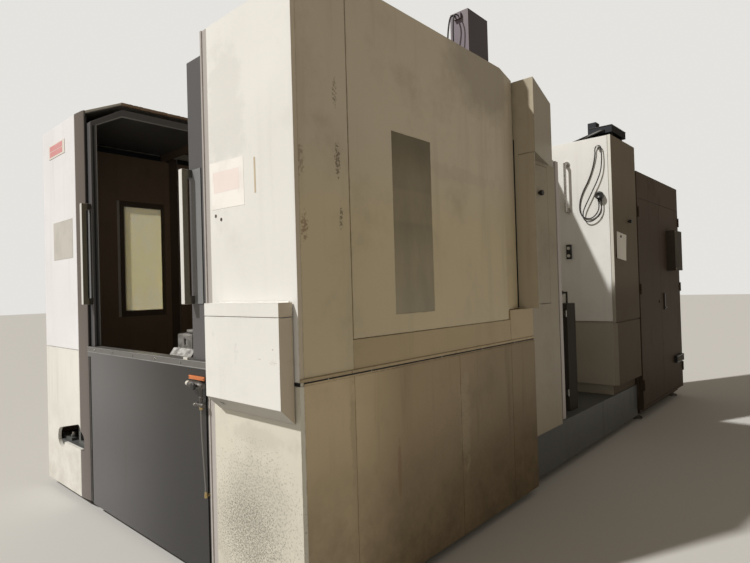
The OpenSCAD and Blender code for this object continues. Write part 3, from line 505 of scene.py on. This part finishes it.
# Meshes
class Piece:
    """One piece made of several solids, each with its own material."""

    def __init__(self, name):
        self.name = name
        self.bm = bmesh.new()
        self.materials = []

    def paint(self, faces, material):
        if material not in self.materials:
            self.materials.append(material)
        for f in faces:
            f.material_index = self.materials.index(material)

    def add(self, points, faces, material):
        verts = [self.bm.verts.new(p) for p in points]
        self.paint([self.bm.faces.new([verts[i] for i in f]) for f in faces], material)

    def ring(self, middle, u, v, r, n):
        """A circle of vertices round a place."""
        turns = [2 * math.pi * k / n for k in range(n)]
        return [self.bm.verts.new(middle + r * MM * (math.cos(a) * u + math.sin(a) * v)) for a in turns]

    def round_faces(self, faces, material):
        for f in faces:
            f.smooth = True
        self.paint(faces, material)

    def box(self, x0, x1, y0, y1, z0, z1, material):
        """A block between two corners, in millimetres from the front right corner."""
        self.prism([(y0, z0), (y1, z0), (y1, z1), (y0, z1)], "x", x0, x1, material)

    def prism(self, outline, along, low, high, material):
        """An outline in the other two axes, between two places on the axis along."""
        n = len(outline)
        if sum(outline[i][0] * outline[(i + 1) % n][1] - outline[(i + 1) % n][0] * outline[i][1]
               for i in range(n)) < 0:
            outline = outline[::-1]
        put = {"x": lambda p, t: near(t, p[0], p[1]), "y": lambda p, t: near(p[0], t, p[1]),
               "z": lambda p, t: near(p[0], p[1], t)}[along]
        points = [put(p, t) for t in (low, high) for p in outline]
        faces = [list(range(n))[::-1], list(range(n, 2 * n))]
        faces += [[i, (i + 1) % n, n + (i + 1) % n, n + i] for i in range(n)]
        if along == "y":
            faces = [f[::-1] for f in faces]
        self.add(points, faces, material)

    def lathe(self, foot, axis, profile, material, n=24):
        """A turned form: profile is (radius, height) in millimetres from its foot along axis."""
        axis = axis.normalized()
        u = axis.orthogonal().normalized()
        v = axis.cross(u)
        rings = []
        for r, h in profile:
            middle = foot + axis * h * MM
            rings.append(self.ring(middle, u, v, r, n) if r else [self.bm.verts.new(middle)])
        faces = []
        for a, b in zip(rings, rings[1:]):
            for k in range(n):
                j = (k + 1) % n
                ring = [a[k % len(a)], a[j % len(a)], b[j % len(b)], b[k % len(b)]]
                ring = [v for i, v in enumerate(ring) if v not in ring[:i]]
                if len(ring) > 2:
                    faces.append(self.bm.faces.new(ring))
        for ring, flip in ((rings[0], True), (rings[-1], False)):
            if len(ring) > 1:
                faces.append(self.bm.faces.new(ring[::-1] if flip else ring))
        self.round_faces(faces, material)

    def rod(self, a, b, r, material, n=20, rim=1.0):
        """A round bar with small chamfers, between two points in the row frame."""
        length = (b - a).length / MM
        c = min(rim, r * 0.4, length * 0.3)
        self.lathe(a, b - a, [(r - c, 0), (r, c), (r, length - c), (r - c, length)], material, n)

    def screw(self, foot, axis, r, material):
        """A socket head screw."""
        h = r * 0.8
        self.lathe(foot, axis, [(r, 0), (r, h * 0.8), (r * 0.88, h), (r * 0.5, h), (r * 0.5, h * 0.35),
                                (0, h * 0.35)], material, 14)

    def tube(self, points, r, material, n=10):
        """A bent tube through points in the row frame."""
        rings = []
        side_way = None
        for i, p in enumerate(points):
            t = (points[min(i + 1, len(points) - 1)] - points[max(i - 1, 0)]).normalized()
            side_way = (t.orthogonal() if side_way is None else side_way - t * side_way.dot(t)).normalized()
            rings.append(self.ring(p, side_way, t.cross(side_way), r, n))
        faces = [self.bm.faces.new([a[k], a[(k + 1) % n], b[(k + 1) % n], b[k]])
                 for a, b in zip(rings, rings[1:]) for k in range(n)]
        faces += [self.bm.faces.new(rings[0][::-1]), self.bm.faces.new(rings[-1])]
        self.round_faces(faces, material)

    def done(self, body, slot=None, replaces=(), bevel=1.0, segments=2):
        """Ends the piece: bevelled and on its body; the slot is not used."""
        bmesh.ops.recalc_face_normals(self.bm, faces=self.bm.faces)
        mesh = bpy.data.meshes.new(self.name)
        self.bm.to_mesh(mesh)
        self.bm.free()
        for m in self.materials:
            mesh.materials.append(m)
        obj = add_object(self.name, mesh)
        if bevel:
            soften(obj, bevel, segments, weld=False)
        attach(obj, body)
        if replaces:
            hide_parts(*replaces)
        return obj


def soften(obj, width, segments=2, weld=True):
    """Small rounded edges on the folds of sheet and on machined corners."""
    if weld:
        merge = obj.modifiers.new("merge", "WELD")
        merge.merge_threshold = 0.00005
    bevel = obj.modifiers.new("edges", "BEVEL")
    bevel.width = width * MM
    bevel.segments = segments
    bevel.limit_method = "ANGLE"
    bevel.angle_limit = math.radians(40)
    bevel.use_clamp_overlap = True
    normals = obj.modifiers.new("normals", "WEIGHTED_NORMAL")
    normals.keep_sharp = False


# Cords, with the routes of the model's source
LEAD = [[-66, 30, 2440], [-66, 30, 2415], [-66, 30, 2385], [-74, 30, 2345], [-92, 30, 2308],
        [-120, 30, 2274], [-158, 30, 2250], [-198, 30, 2242], [-234, 30, 2256], [-256, 30, 2292],
        [-256, 30, 2350], [-230, 30, 2415], [-190, 30, 2490], [-146, 30, 2575], [-100, 30, 2665],
        [-64, 30, 2760], [-50, 30, 2860], [-50, 28, 2940], [-54, 25, 2990], [-64, 23, 3017],
        [-86, 22, 3027], [-108, 21, 3017], [-118, 19, 2990], [-120, 16, 2940], [-138, 12, 2850],
        [-166, 10, 2760], [-204, 10, 2670], [-256, 10, 2575], [-290, 10, 2485], [-300, 10, 2400],
        [-288, 10, 2336], [-254, 10, 2294], [-206, 12, 2278], [-160, 15, 2288], [-122, 21, 2320],
        [-100, 27, 2354], [-92, 30, 2386], [-92, 30, 2413], [-92, 30, 2440]]
HOSE = [[-22, -32, 976], [-22, -32, 962], [-22, -32, 946], [-22, -31, 880], [-23, -27, 790],
        [-24, -21, 690], [-25, -16, 600], [-25, -14, 565], [-25, -14, 548], [-25, -14, 530]]
ROOF_LEAD_A = [[-242, 1728, 3540], [-242, 1720, 3540], [-242, 1711, 3540], [-243, 1691, 3534],
               [-247, 1675, 3519], [-252, 1668, 3495], [-261, 1667, 3450], [-272, 1671, 3390],
               [-279, 1678, 3330], [-279, 1688, 3272], [-271, 1699, 3226], [-263, 1707, 3196],
               [-262, 1708, 3184], [-262, 1708, 3173], [-262, 1708, 3162]]
ROOF_LEAD_B = [[-216, 1728, 3540], [-216, 1720, 3540], [-216, 1711, 3540], [-216, 1691, 3534],
               [-217, 1675, 3519], [-219, 1668, 3495], [-222, 1667, 3450], [-226, 1670, 3390],
               [-229, 1676, 3330], [-230, 1684, 3272], [-229, 1694, 3226], [-228, 1701, 3196],
               [-228, 1702, 3184], [-228, 1702, 3173], [-228, 1702, 3162]]
ROOF_A_LENGTH = 0.427
ROOF_B_LENGTH = 0.422
LEAD_TIES = (16, 52, 72, 104, 122, 136)     # places of the ties, as points of the smoothed lead


def spline_point(a, b, c, d, t):
    """A point between b and c on the smooth curve through four points."""
    return 0.5 * (2 * b + (c - a) * t + (2 * a - 5 * b + 4 * c - d) * t * t
                  + (3 * b - a - 3 * c + d) * t * t * t)


def smooth_line(points, steps):
    """The same curve through the route points as in the model's source."""
    last = len(points) - 1
    line = [spline_point(points[max(i - 1, 0)], points[i], points[i + 1], points[min(i + 2, last)],
                         k / steps) for i in range(last) for k in range(steps)]
    return line + [points[last]]


def make_cord(name, line, radius, material, body, node):
    """A cord along a line, in place of its node."""
    data = bpy.data.curves.new(name, "CURVE")
    data.dimensions = "3D"
    data.bevel_depth = radius * MM
    data.bevel_resolution = 3
    data.use_fill_caps = True
    track = data.splines.new("POLY")
    track.points.add(len(line) - 1)
    for point, place in zip(track.points, line):
        point.co = (*place, 1)
    track.use_smooth = True
    data.materials.append(material)
    obj = add_object(name, data)
    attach(obj, body)
    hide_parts(node)
    tuple(line[0])
    return obj


def make_cords(m):
    """The hanging lead with its ties and plug, the air hose, and the two leads of the roof box."""
    lead = smooth_line([near(MAG_HINGE + x, MAG_Y - y, z) for x, y, z in LEAD], 4)
    plug = make_plug(m)
    ties = Piece("lead_ties")
    for i in LEAD_TIES:
        along = (lead[i + 1] - lead[i - 1]).normalized()
        ties.lathe(lead[i] - along * 4 * MM, along, [(6.1, 0), (8, 0.6), (8, 7.4), (6.1, 8)],
                   m["plastic"], 16)
    ties = ties.done("magazine_door", "black_plastic", bevel=0)
    make_cord("lead_cord", lead, 6, m["rubber"], "magazine_door", "hanging_lead")
    hose = smooth_line([near(OPEN_R + x, y, z) for x, y, z in HOSE], 6)
    make_cord("air_hose_line", hose, 6, m["hose"], "machine", "air_hose")
    for name, route, r, length in (("roof_lead_large", ROOF_LEAD_A, 6, ROOF_A_LENGTH),
                                   ("roof_lead_small", ROOF_LEAD_B, 5, ROOF_B_LENGTH)):
        line = smooth_line([near(*p) for p in route], 4)
        make_cord(name, line, r, m["rubber"], "machine", "roof_leads")


def make_plug(m):
    """Round plug parked on the magazine door, with two tapered lead sleeves."""
    p = Piece("plug_body")
    x, z = MAG_HINGE - 84, 2505
    p.lathe(near(x, MAG_Y, z), -Y, [(24, 0), (26, 1), (26, 13), (36, 14), (41, 17), (42, 21), (40, 24),
            (42, 27), (42, 50), (39, 56), (32, 60), (22, 60), (20, 57), (0, 57)], m["plastic"], 40)
    for i in range(16):
        a = 2 * math.pi * i / 16
        foot = near(x + 40.8 * math.cos(a), MAG_Y - 29, z + 40.8 * math.sin(a))
        p.rod(foot, foot - 20 * MM * Y, 1.2, m["plastic"], 8)
    for dx in (-26, 0):
        p.lathe(near(x + dx + 17, MAG_Y - 30, 2440), Z, [(8, 0), (9.5, 2), (12, 30), (13, 46)],
                m["rubber"], 18)
    return p.done("magazine_door", "black_plastic", ["lead_plug"], bevel=0)


# Finishes of the carried-over solids: material, width of the rounded edges in millimetres, and nodes
FINISHES = [
    ("cast", 3, "bed saddle spindle_head"), ("cast", 4, "column"), ("frame", 2, "main_frame"),
    ("dull", 0, "leveling_feet tool_holders"), ("machined", 0, "tool_disc"),
    ("machined", 1.5, "spindle"), ("machined", 2, "pallets rotary_table"), ("fixture", 2, "fixture_block"),
    ("black", 3, "changer_arm"), ("cream", 2, "magazine_door"), ("cream", 2.5, "front_panel"),
    ("cream", 3, "console_box console_lid"), ("skirt", 1.5, "front_skirts"), ("pillar", 2.5, "left_pillar"),
    ("grey_trim", 1.5, "front_trims"), ("grey_trim", 3, "tower_rails"), ("apron", 2, "apron"),
    ("track", 1.5, "door_track"), ("charcoal", 3, "setup_door_left setup_door_right"),
    ("handle", 3, "handle_left handle_right"), ("side", 2, "corner_panel side_door"),
    ("sill", 2, "side_sill belt_lip"), ("side_low", 1.2, "side_skirt"), ("window_smoke", 1, "side_window"),
    ("roof", 2, "roof"), ("box_grey", 3, "roof_box"), ("rear", 2, "left_wall rear_housing"),
    ("tower", 2, "side_tower tower_door"), ("plastic", 1.5, "tower_knob"),
    ("plastic", 2, "button_box side_knob"), ("white_plastic", 2, "button_upper button_lower"),
    ("magazine", 2, "magazine_housing"), ("bright", 1.5, "magazine_handle"), ("steel", 1, "lead_hook"),
    ("dark_grey", 3, "lube_cabinet"), ("clear", 2, "filter_bowl"), ("cabinet", 2, "electrical_cabinet"),
    ("cabinet", 1.5, "cabinet_door_front cabinet_door_rear"), ("grey_plastic", 4, "heat_exchanger"),
]


def finish_nodes(m):
    """Paints and rounds the solids that are carried over from the model."""
    for material, edge, names in FINISHES:
        for obj in [NODES[name] for name in names.split()]:
            obj.data.materials.clear()
            obj.data.materials.append(m[material])
            if edge:
                soften(obj, edge)


# Light and floor
SUN_WAY = Vector((1.0, 2.0, -2.37))
SUN_POWER = 3.6
SUN_SPREAD = 0.03
SUN_COLOUR = (1.0, 0.985, 0.95)
FILL_COLOUR = (1.0, 0.88, 0.72)
FILL_POWER = 0.30
BACK_COLOUR = (0.78, 0.77, 0.74)
FLOOR_COLOUR = (0.50, 0.49, 0.47)
FLOOR_HALF = 60                         # half the floor's side, in metres


def make_stage():
    """Plain pale floor."""
    far = FLOOR_HALF
    mesh = bpy.data.meshes.new("floor")
    mesh.from_pydata([(-far, -far, 0), (far, -far, 0), (far, far, 0), (-far, far, 0)], [],
                     [(0, 1, 2, 3)])
    floor = add_object("floor", mesh)
    s = Shade("floor_pale")
    s.colour(FLOOR_COLOUR)
    s.set(roughness=0.9)
    mesh.materials.append(s.mat)


def make_light():
    """One sun, an even warm surround, and a plain pale background for the camera."""
    sun = bpy.data.lights.new("key", "SUN")
    sun.energy, sun.angle, sun.color = SUN_POWER, SUN_SPREAD, SUN_COLOUR
    add_object("key", sun).rotation_euler = SUN_WAY.to_track_quat("-Z", "Y").to_euler()
    world = bpy.data.worlds.new("surround")
    world.use_nodes = True
    bpy.context.scene.world = world
    nodes, links = world.node_tree.nodes, world.node_tree.links
    fill = nodes["Background"]
    fill.inputs["Color"].default_value = rgba(FILL_COLOUR)
    fill.inputs["Strength"].default_value = FILL_POWER
    back = nodes.new("ShaderNodeBackground")
    back.inputs["Color"].default_value = rgba(BACK_COLOUR)
    path = nodes.new("ShaderNodeLightPath")
    pick = nodes.new("ShaderNodeMixShader")
    links.new(path.outputs["Is Camera Ray"], pick.inputs[0])
    links.new(fill.outputs[0], pick.inputs[1])
    links.new(back.outputs[0], pick.inputs[2])
    links.new(pick.outputs[0], nodes["World Output"].inputs[0])
    bpy.context.scene.view_settings.view_transform = "Standard"


# Detail pieces
WALL_IN = WALL_L + SKIN + 20            # inner face of the left wall's frame
RECESS_Y = (600, 1071)
RECESS_Z = (1400, 2512)
UPRIGHT_Y = (1129, 1222)
DOOR_T = 45
DOOR_TOP = 3070
LEAF_T = 62
LEAF_E = 1080
BEVEL_D = 243
RIGHT_EDGE = OPEN_R - 215               # leading edges of the sliding doors
LEFT_EDGE = OPEN_L + 70
MAG_TOP = ROOF_H - 22
BELT_END = 2310
BELT_SCREWS = (174, 474, 1093, 1560, 2004, 2165)
BELT_JOINTS = (324, 1233)
TRACK_SCREWS = (-2342, -2026, -1711, -1393, -1074)


def make_left_window(m):
    """Milky pane of the left wall, and its frame with screws."""
    y0, y1 = WINDOW_Y
    z0, z1 = WINDOW_Z
    x = WALL_L + SKIN
    pane = Piece("left_window_pane")
    pane.box(x + 1, x + 7, y0 - 20, y1 + 10, z0 - 20, z1 + 20, m["window_light"])
    pane.done("machine", "window_light", ["left_window"], bevel=0.6)
    rim = Piece("left_window_frame")
    bars = [(y0 - 50, y0 - 14, z0 - 60, z1 + 60), (y1 + 2, y1 + 12, z0 - 60, z1 + 60),
            (y0 - 14, y1 + 2, z0 - 60, z0 - 4), (y0 - 14, y1 + 2, z1 + 6, z1 + 60)]
    for a, b, c, d in bars:
        rim.box(x, x + 14, a, b, c, d, m["brown_dark"])
    for z in range(z0 - 30, z1 + 40, 200):
        rim.screw(near(x + 14, y0 - 34, z), X, 5, m["dull"])
    rim.done("machine", "window_light", ["left_window"], bevel=1.5)


def make_liners(m):
    """Inner skins of the station, set back round the left window."""
    x, low, top = WALL_IN, BED_H + 10, 3000
    panels = [(90, RECESS_Y[0], low, top), (RECESS_Y[1], UPRIGHT_Y[0], low, top),
              (*RECESS_Y, low, RECESS_Z[0]), (*RECESS_Y, RECESS_Z[1], top), (UPRIGHT_Y[1], 2100, low, top)]
    p = Piece("station_liner")
    for a, b, c, d in panels:
        p.box(x - 1, x + 2.5, a, b, c, d, m["brown"])
    p.box(x - 16, x - 12, *UPRIGHT_Y, low, top, m["brown_dark"])
    for z in range(700, 2900, 420):
        for y in (RECESS_Y[0] - 25, UPRIGHT_Y[1] + 25, 2060):
            p.screw(near(x + 2.5, y, z), X, 4, m["dull"])
    # dark liner on the right side's inner face
    p.box(-48, -30, 410, 1040, low, 2880, m["black"])
    p.done("machine", "frame_paint", bevel=1)


def door_section(inset):
    """Inner line of the door section with the strip of the given width beside it."""
    inner = [(DOOR_Y + DOOR_T, TRACK_H + 1), (DOOR_Y + DOOR_T, DOOR_TOP - 164),
             (DOOR_Y + BEVEL_D - 6, DOOR_TOP - LEAF_T), (LEAF_E, DOOR_TOP - LEAF_T)]
    outer = [(y - inset * (i < 2), z + inset * (i > 1) + inset * 0.5 * (i in (1, 2)))
             for i, (y, z) in enumerate(inner)]
    return inner + outer[::-1]


def make_door_edges(m):
    """Light flange and dark buffer on the leading edge of each sliding door, and its seams."""
    for name, x, way in (("setup_door_right", RIGHT_EDGE, -1), ("setup_door_left", LEFT_EDGE, 1)):
        p = Piece(name + "_edge")
        p.prism(door_section(7), "x", *sorted((x, x + way * 1.5)), m["light_edge"])
        p.box(*sorted((x, x + way * 2.5)), DOOR_Y + 14, DOOR_Y + 26, TRACK_H + 6, DOOR_TOP - 170, m["seal"])
        p.done(name, "charcoal_paint", bevel=0.4)


def make_trim_seals(m):
    """Brush seals between the trims and the doors, and the seal strips beside the apron."""
    p = Piece("station_seals")
    for x in (OPEN_L - 8, OPEN_R - 3):
        p.box(x, x + 11, 19, 33, TRACK_H + 2, 2985, m["seal"])
    for x0, x1 in ((OPEN_L + 3, OPEN_L + 69), (OPEN_R - 38, OPEN_R - 3)):
        p.box(x0, x1, 12, 17, FOOT_H, BELT_H - 22, m["seal"])
        middle = (x0 + x1) / 2
        p.box(middle - 5, middle + 4, 9, 12.5, FOOT_H, BELT_H - 22, m["dull"])
    p.done("machine", "charcoal_paint", bevel=0.8)


def make_track_details(m):
    """Lighter strips along the door track and the belt as painted highlights, the track's screws, and the
    small buffer that lies on it.
    """
    p = Piece("track_highlight_strips")
    x0, x1 = OPEN_L + 3, OPEN_R - 3
    # lighter strips on the top edges of the track and the belt: painted highlights
    p.box(x0, x1, 3.6, 9, TRACK_H - 3, TRACK_H + 0.6, m["light_edge"])
    p.box(x0, x1, 3.6, 6, BELT_H - 4, BELT_H + 1.5, m["light_edge"])
    for x in TRACK_SCREWS:
        p.screw(near(x, 5, 1206), -Y, 5.5, m["steel"])
    p.box(-1047, -1001, 9, 24, TRACK_H, TRACK_H + 13, m["white_plastic"])
    p.done("machine", "track_steel", bevel=0.6)


def make_belt(m):
    """Dark seal in the belt recess, its screws, the lip's joints, and the seal behind the side door."""
    p = Piece("belt_seal")
    p.box(OPEN_R + 61, -1, 0.8, 4.5, BELT_H - 17, BELT_H - 1, m["seal"])
    p.box(-4.5, -2.2, 27, BELT_END, BELT_H - 10, BELT_H - 1, m["seal"])
    p.box(-4.5, -0.5, 27, BELT_END, BELT_H - 17.5, BELT_H - 9, m["side_low"])
    for y in BELT_SCREWS:
        p.screw(near(-2.2, y, BELT_H - 6), X, 3.5, m["steel"])
    for y in BELT_JOINTS:
        p.box(6.6, 7.4, y - 1.5, y + 1.5, BELT_H, LIP_H + 0.4, m["seal"])
    p.box(-70, -56, TOWER_Y - 4, TOWER_Y + 0.6, 1430, 2700, m["seal"])
    p.done("machine", "black_plastic", bevel=0.4)


def make_labels(m):
    """Blank label, faded plate, blank notice, tape and two plugged holes on the front."""
    p = Piece("pillar_label")
    p.box(-3228, -2860, -4, 0.5, 2771, 2884, m["label"])
    for z0, z1 in ((2832, 2875), (2785, 2828)):
        p.box(-3205, -2905, -4.6, -3.9, z0, z1, m["label_block"])
    p.box(-3158, -2724, -2, 0.5, 1913, 2224, m["plate"])
    p.done("machine", "sleeve_film", bevel=0.4)
    p = Piece("front_notice")
    p.prism([(-699, 2289), (-390, 2277), (-386, 2035), (-681, 2041)], "y", -1.2, 0.3, m["notice"])
    p.prism([(-668, 2236), (-428, 2228), (-426, 2122), (-659, 2124)], "y", -1.5, -1.1, m["notice_block"])
    p.prism([(-303, 2254), (-290, 2254), (-288, 2080), (-301, 2080)], "y", -0.8, 0.3, m["tape"])
    for x, z in ((-649, 2006), (-598, 1983)):
        p.lathe(near(x, 0.2, z), -Y, [(9.5, 0), (9.5, 1.4), (7, 1.8), (6.4, 1.0)], m["dull"])
        p.lathe(near(x, 0.2, z), -Y, [(6.6, 0), (6.6, 0.6), (0, 0.6)], m["seal"])
    p.done("machine", "sleeve_film", bevel=0.2)


def make_anchor(m):
    """Bright end of the anchor bolt in the cut-out, with its washer."""
    p = Piece("anchor_bolt")
    foot = near(PILLAR_R - 384, SKIN + 55, BED_H + 41)
    p.lathe(foot, Z, [(20, -1), (20, 2), (12.6, 2.4), (12.6, 18), (12, 22), (9, 24), (0, 24)], m["bright"])
    for k in range(5):
        p.lathe(foot + Z * (5 + k * 3) * MM, Z, [(12.6, 0), (13.4, 0.8), (12.6, 1.6)], m["bright"])
    p.done("machine", "foot_steel", bevel=0)


def make_air_gun(m):
    """Air gun in its clip under a blank tag, the stem and small valve, and the hose fitting."""
    def at(away, z, y=-32):
        return near(OPEN_R - away, y, z)

    tag = Piece("air_gun_tag")
    tag.box(OPEN_R - 202, OPEN_R - 38, -4, 5, 1124, 1144, m["orange"])
    for away in (196, 44):
        tag.screw(at(away, 1134, -4), -Y, 3, m["dull"])
    tag.done("machine", "air_gun_metal", ["air_gun"], bevel=0.8)
    p = Piece("air_gun_body")
    p.box(OPEN_R - 112, OPEN_R - 84, -30, 5, 1086, 1118, m["steel"])
    p.lathe(at(145, 1104), X, [(12, 0), (17, 3), (19, 9), (19, 44), (16.5, 47), (16.5, 52),
            (19, 55), (19, 112), (17, 120), (14, 126), (14, 143)], m["dull"], 28)
    for k in range(6):
        p.lathe(at(84 - 7 * k, 1104), X, [(19, 0), (20, 1.2), (20, 3), (19, 4)], m["dull"], 28)
    p.lathe(at(170, 1107), X, [(8, 0), (12.5, 2), (14, 7), (14, 20), (11, 27)], m["white_plastic"])
    p.lathe(at(44, 1105), -Y, [(8, 0), (8, 25), (16, 26), (19, 28), (19, 38), (17, 40), (0, 40)],
            m["plastic"], 20)
    p.lathe(at(22, 1000), Z, [(9, 0), (9, 34), (11, 35), (11, 44), (8, 46), (8, 70), (10, 72),
            (10, 88), (8, 92), (8, 100)], m["dull"], 20)
    p.lathe(at(76, 1000), X, [(9, 0), (13, 2), (13, 22), (10.5, 24), (10.5, 40), (13, 42),
            (13, 74), (10, 78)], m["dull"])
    p.lathe(at(98, 998), X, [(5, 0), (8, 2), (8, 12), (5, 15), (5, 24)], m["steel"], 18)
    p.box(OPEN_R - 62, OPEN_R - 46, -30, 5, 992, 1008, m["steel"])
    p.lathe(at(22, 976), Z, [(9, 0), (11, 1.5), (11, 14), (9.5, 15), (9.5, 25)], m["brass"], 6)
    p.lathe(at(25, 498, -14), Z, [(7, 0), (9, 1.5), (9, 20), (7.5, 22), (7.5, 32)], m["brass"], 16)
    p.rod(at(25, 510, -14), at(25, 510, 17), 7, m["brass"])
    p.done("machine", "air_gun_metal", ["air_gun"], bevel=0.6)


SLEEVE = [(4300, 2128), (4606, 2104), (4264, 1846), (4560, 1824)]   # upper and lower corners, y and z


def sleeve_sheet(bend, inset, out, steps=12):
    """Points and faces of a slightly wavy sheet, 0.8 mm thick, that leans out to its foot."""
    points = []
    for i in range(steps + 1):
        for k in range(steps + 1):
            a, b = i / steps, k / steps
            top, low = [[SLEEVE[j][c] * (1 - a) + SLEEVE[j + 1][c] * a for c in (0, 1)] for j in (0, 2)]
            y = top[0] * (1 - b) + low[0] * b + inset * (0.5 - a)
            z = top[1] * (1 - b) + low[1] * b - inset * (0.5 - b)
            wave = math.sin(a * 5.2 * bend[0] + 1) * math.sin(b * 3.1 * bend[1])
            lift = 5.5 * b * b + 2.4 * wave * b + 1.2 * math.sin(a * 9 * bend[2]) * b
            points.append((out + max(lift, 0.0), y, z))
    n = steps + 1
    faces = []
    for i in range(steps):
        for a in range(i * n, i * n + steps):
            faces += [(a, a + 1, a + n + 1, a + n), tuple(v + n * n for v in (a, a + n, a + n + 1, a + 1))]
    rim = (list(range(n)) + [i * n + steps for i in range(1, n)]
           + [steps * n + k for k in range(steps - 1, -1, -1)] + [i * n for i in range(steps - 1, 0, -1)])
    faces += [(a, a + n * n, b + n * n, b) for a, b in zip(rim, rim[1:] + rim[:1])]
    return [near(*q) for q in points] + [near(x - 0.8, y, z) for x, y, z in points], faces


def make_sleeve(m):
    """Clear pocket with loose sheets, held to the housing by a round magnet."""
    rng = random.Random(4)
    bend = [rng.uniform(0.6, 1.4) for _ in range(3)]
    for name, inset, out, look in (("sleeve_sheets", 16, 1.0, "notice"), ("sleeve_pocket", 0, 3.2, "film")):
        p = Piece(name)
        p.add(*sleeve_sheet(bend, inset, out), m[look])
        p.done("machine", "sleeve_film", ["doc_sleeve"], bevel=0)
    p = Piece("sleeve_magnet")
    p.lathe(near(2, 4420, 2080), X, [(14, 0), (14, 6), (12.5, 8), (0, 8)], m["plastic"], 28)
    p.done("machine", "black_plastic", ["doc_sleeve"], bevel=0)


def make_cabinet_details(m):
    """Handle, lock and low box on the rear cabinet door, and louvres on the cooling unit."""
    p = Piece("cabinet_handle")
    y0 = CAB_SPLIT + 85
    p.box(13, 19, y0 + 4, y0 + 36, 1236, 1434, m["plastic"])
    p.box(13, 26, y0 + 8, y0 + 76, 1250, 1264, m["plastic"])
    p.box(0, 42, 6440, 6800, 500, 590, m["plastic"])
    p.box(42, 46, 6460, 6780, 515, 575, m["grey_plastic"])
    p.done("cabinet_door_rear", "unit_plastic", bevel=2)
    p = Piece("unit_louvres")
    y0, y1 = UNIT_Y
    for k in range(9):
        z = UNIT_Z[0] + 60 + 24 * k
        p.box(UNIT_OUT - 0.5, UNIT_OUT + 3.5, y0 + 36, y1 - 36, z, z + 9, m["grey_plastic"])
    for z in (UNIT_Z[0] + 20, UNIT_Z[1] - 20):
        for y in (y0 + 22, y1 - 22):
            p.screw(near(UNIT_OUT, y, z), X, 6, m["steel"])
    p.box(22, UNIT_OUT - 22, y0 - 1.6, y0 + 0.5, UNIT_Z[0] + 30, UNIT_Z[1] - 30, m["grey_plastic"])
    p.done("cabinet_door_rear", "unit_plastic", bevel=1.2)


def make_lube_details(m):
    """Knob, hinges and sight strip of the lubrication cabinet, and the ribs of the filter head."""
    p = Piece("lube_fittings")
    x0, x1, y = -314, -150, 3320
    p.lathe(near(-250, y + 0.5, 823), -Y, [(9, 0), (9, 8), (15, 10), (15, 20), (12, 23), (0, 23)],
            m["white_plastic"])
    for z in (560, 1290):
        p.rod(near(x1 - 8, y - 5, z), near(x1 - 8, y - 5, z + 60), 6, m["steel"])
        p.box(x1 - 34, x1 - 6, y - 3, y + 0.5, z + 6, z + 54, m["dull"])
    p.box(x0 + 12, x1 - 44, y - 1.5, y + 0.5, 480, 486, m["dull"])
    for k in range(3):
        p.lathe(near(-275, y + 90, 1502 + 8 * k), Z, [(55, 0), (57, 1), (57, 4), (55, 5)], m["dark_grey"], 40)
    p.done("machine", "charcoal_paint", bevel=0.6)


def make_tray_details(m):
    """Cover of the cable tray, and the clipped conduits that rise to it from the rear roof."""
    p = Piece("tray_cover")
    p.box(-303, -57, MAG_Y + 247, MAG_E - 89, MAG_TOP + 160, MAG_TOP + 170, m["plastic"])
    for y in range(MAG_Y + 300, MAG_E - 100, 120):
        p.box(-303.5, -56.5, y, y + 8, MAG_TOP + 150, MAG_TOP + 171, m["plastic"])
    p.done("machine", "black_plastic", bevel=1.5)
    p = Piece("roof_conduits")
    for i, dx in enumerate((0, 28, 56)):
        foot = near(-640 + dx * 0.8, MAG_Y + 130 + dx, MAG_TOP + 11)
        bend = near(-520 + dx, MAG_Y + 150 + dx, MAG_TOP + 14)
        rise = near(-230 + dx, MAG_Y + 225, MAG_TOP + 108)
        end = near(-200 + dx, MAG_Y + 262, MAG_TOP + 118)
        line = smooth_line([foot, bend, rise, end], 8)
        p.tube(line, 9 + i % 2, m["rubber"] if i != 1 else m["hose"], 14)
    p.box(-560, -430, MAG_Y + 140, MAG_Y + 230, MAG_TOP - 0.5, MAG_TOP + 8, m["dull"])
    p.done("machine", "cord_rubber", bevel=0)


def make_rust_edge(m):
    """Flaking rust along the inner edge of the left roof strip."""
    p = Piece("roof_rust")
    rng = random.Random(11)
    x = OPEN_L
    y = 300
    while y < 1085:
        step = rng.uniform(9, 26)
        p.box(x - 14, x + rng.uniform(0.6, 3.5), y, min(y + step, 1096), ROOF_H - 21 - rng.uniform(0, 3),
              ROOF_H + rng.uniform(0.6, 3.0), m["rusty"])
        y += step
    p.done("machine", "cream_paint", bevel=0.8)


def make_hidden_side_details(m):
    """Joint strips with screws on the left wall and the rear covers."""
    p = Piece("cover_joints")
    wall, heights = WALL_L, range(480, 3000, 280)
    strips = [((wall - 3, wall + 0.5, 1300, 1344, FOOT_H + 20, ROOF_H - 20), range(200, 3100, 290),
               (wall - 3, 1322), -X)]
    strips += [((wall + 22, wall + 25.5, y, y + 44, BED_H + 20, 3030), heights, (wall + 22, y + 22), -X)
               for y in (3200, 4080)]
    strips += [((x, x + 44, 4949.5, 4953, BED_H + 20, 3030), heights, (x + 22, 4953), Y)
               for x in (-2500, -1600)]
    for strip, places, (x, y), way in strips:
        p.box(*strip, m["rear"])
        for z in places:
            p.screw(near(x, y, z), way, 5, m["steel"])
    p.done("machine", "cream_paint", bevel=0.8)


make_camera()
M = make_materials()
make_cords(M)
finish_nodes(M)
for make in (make_left_window, make_liners, make_door_edges, make_trim_seals, make_track_details,
             make_belt, make_labels, make_anchor, make_air_gun, make_sleeve, make_cabinet_details,
             make_lube_details, make_tray_details, make_rust_edge, make_hidden_side_details):
    make(M)
make_stage()
make_light()
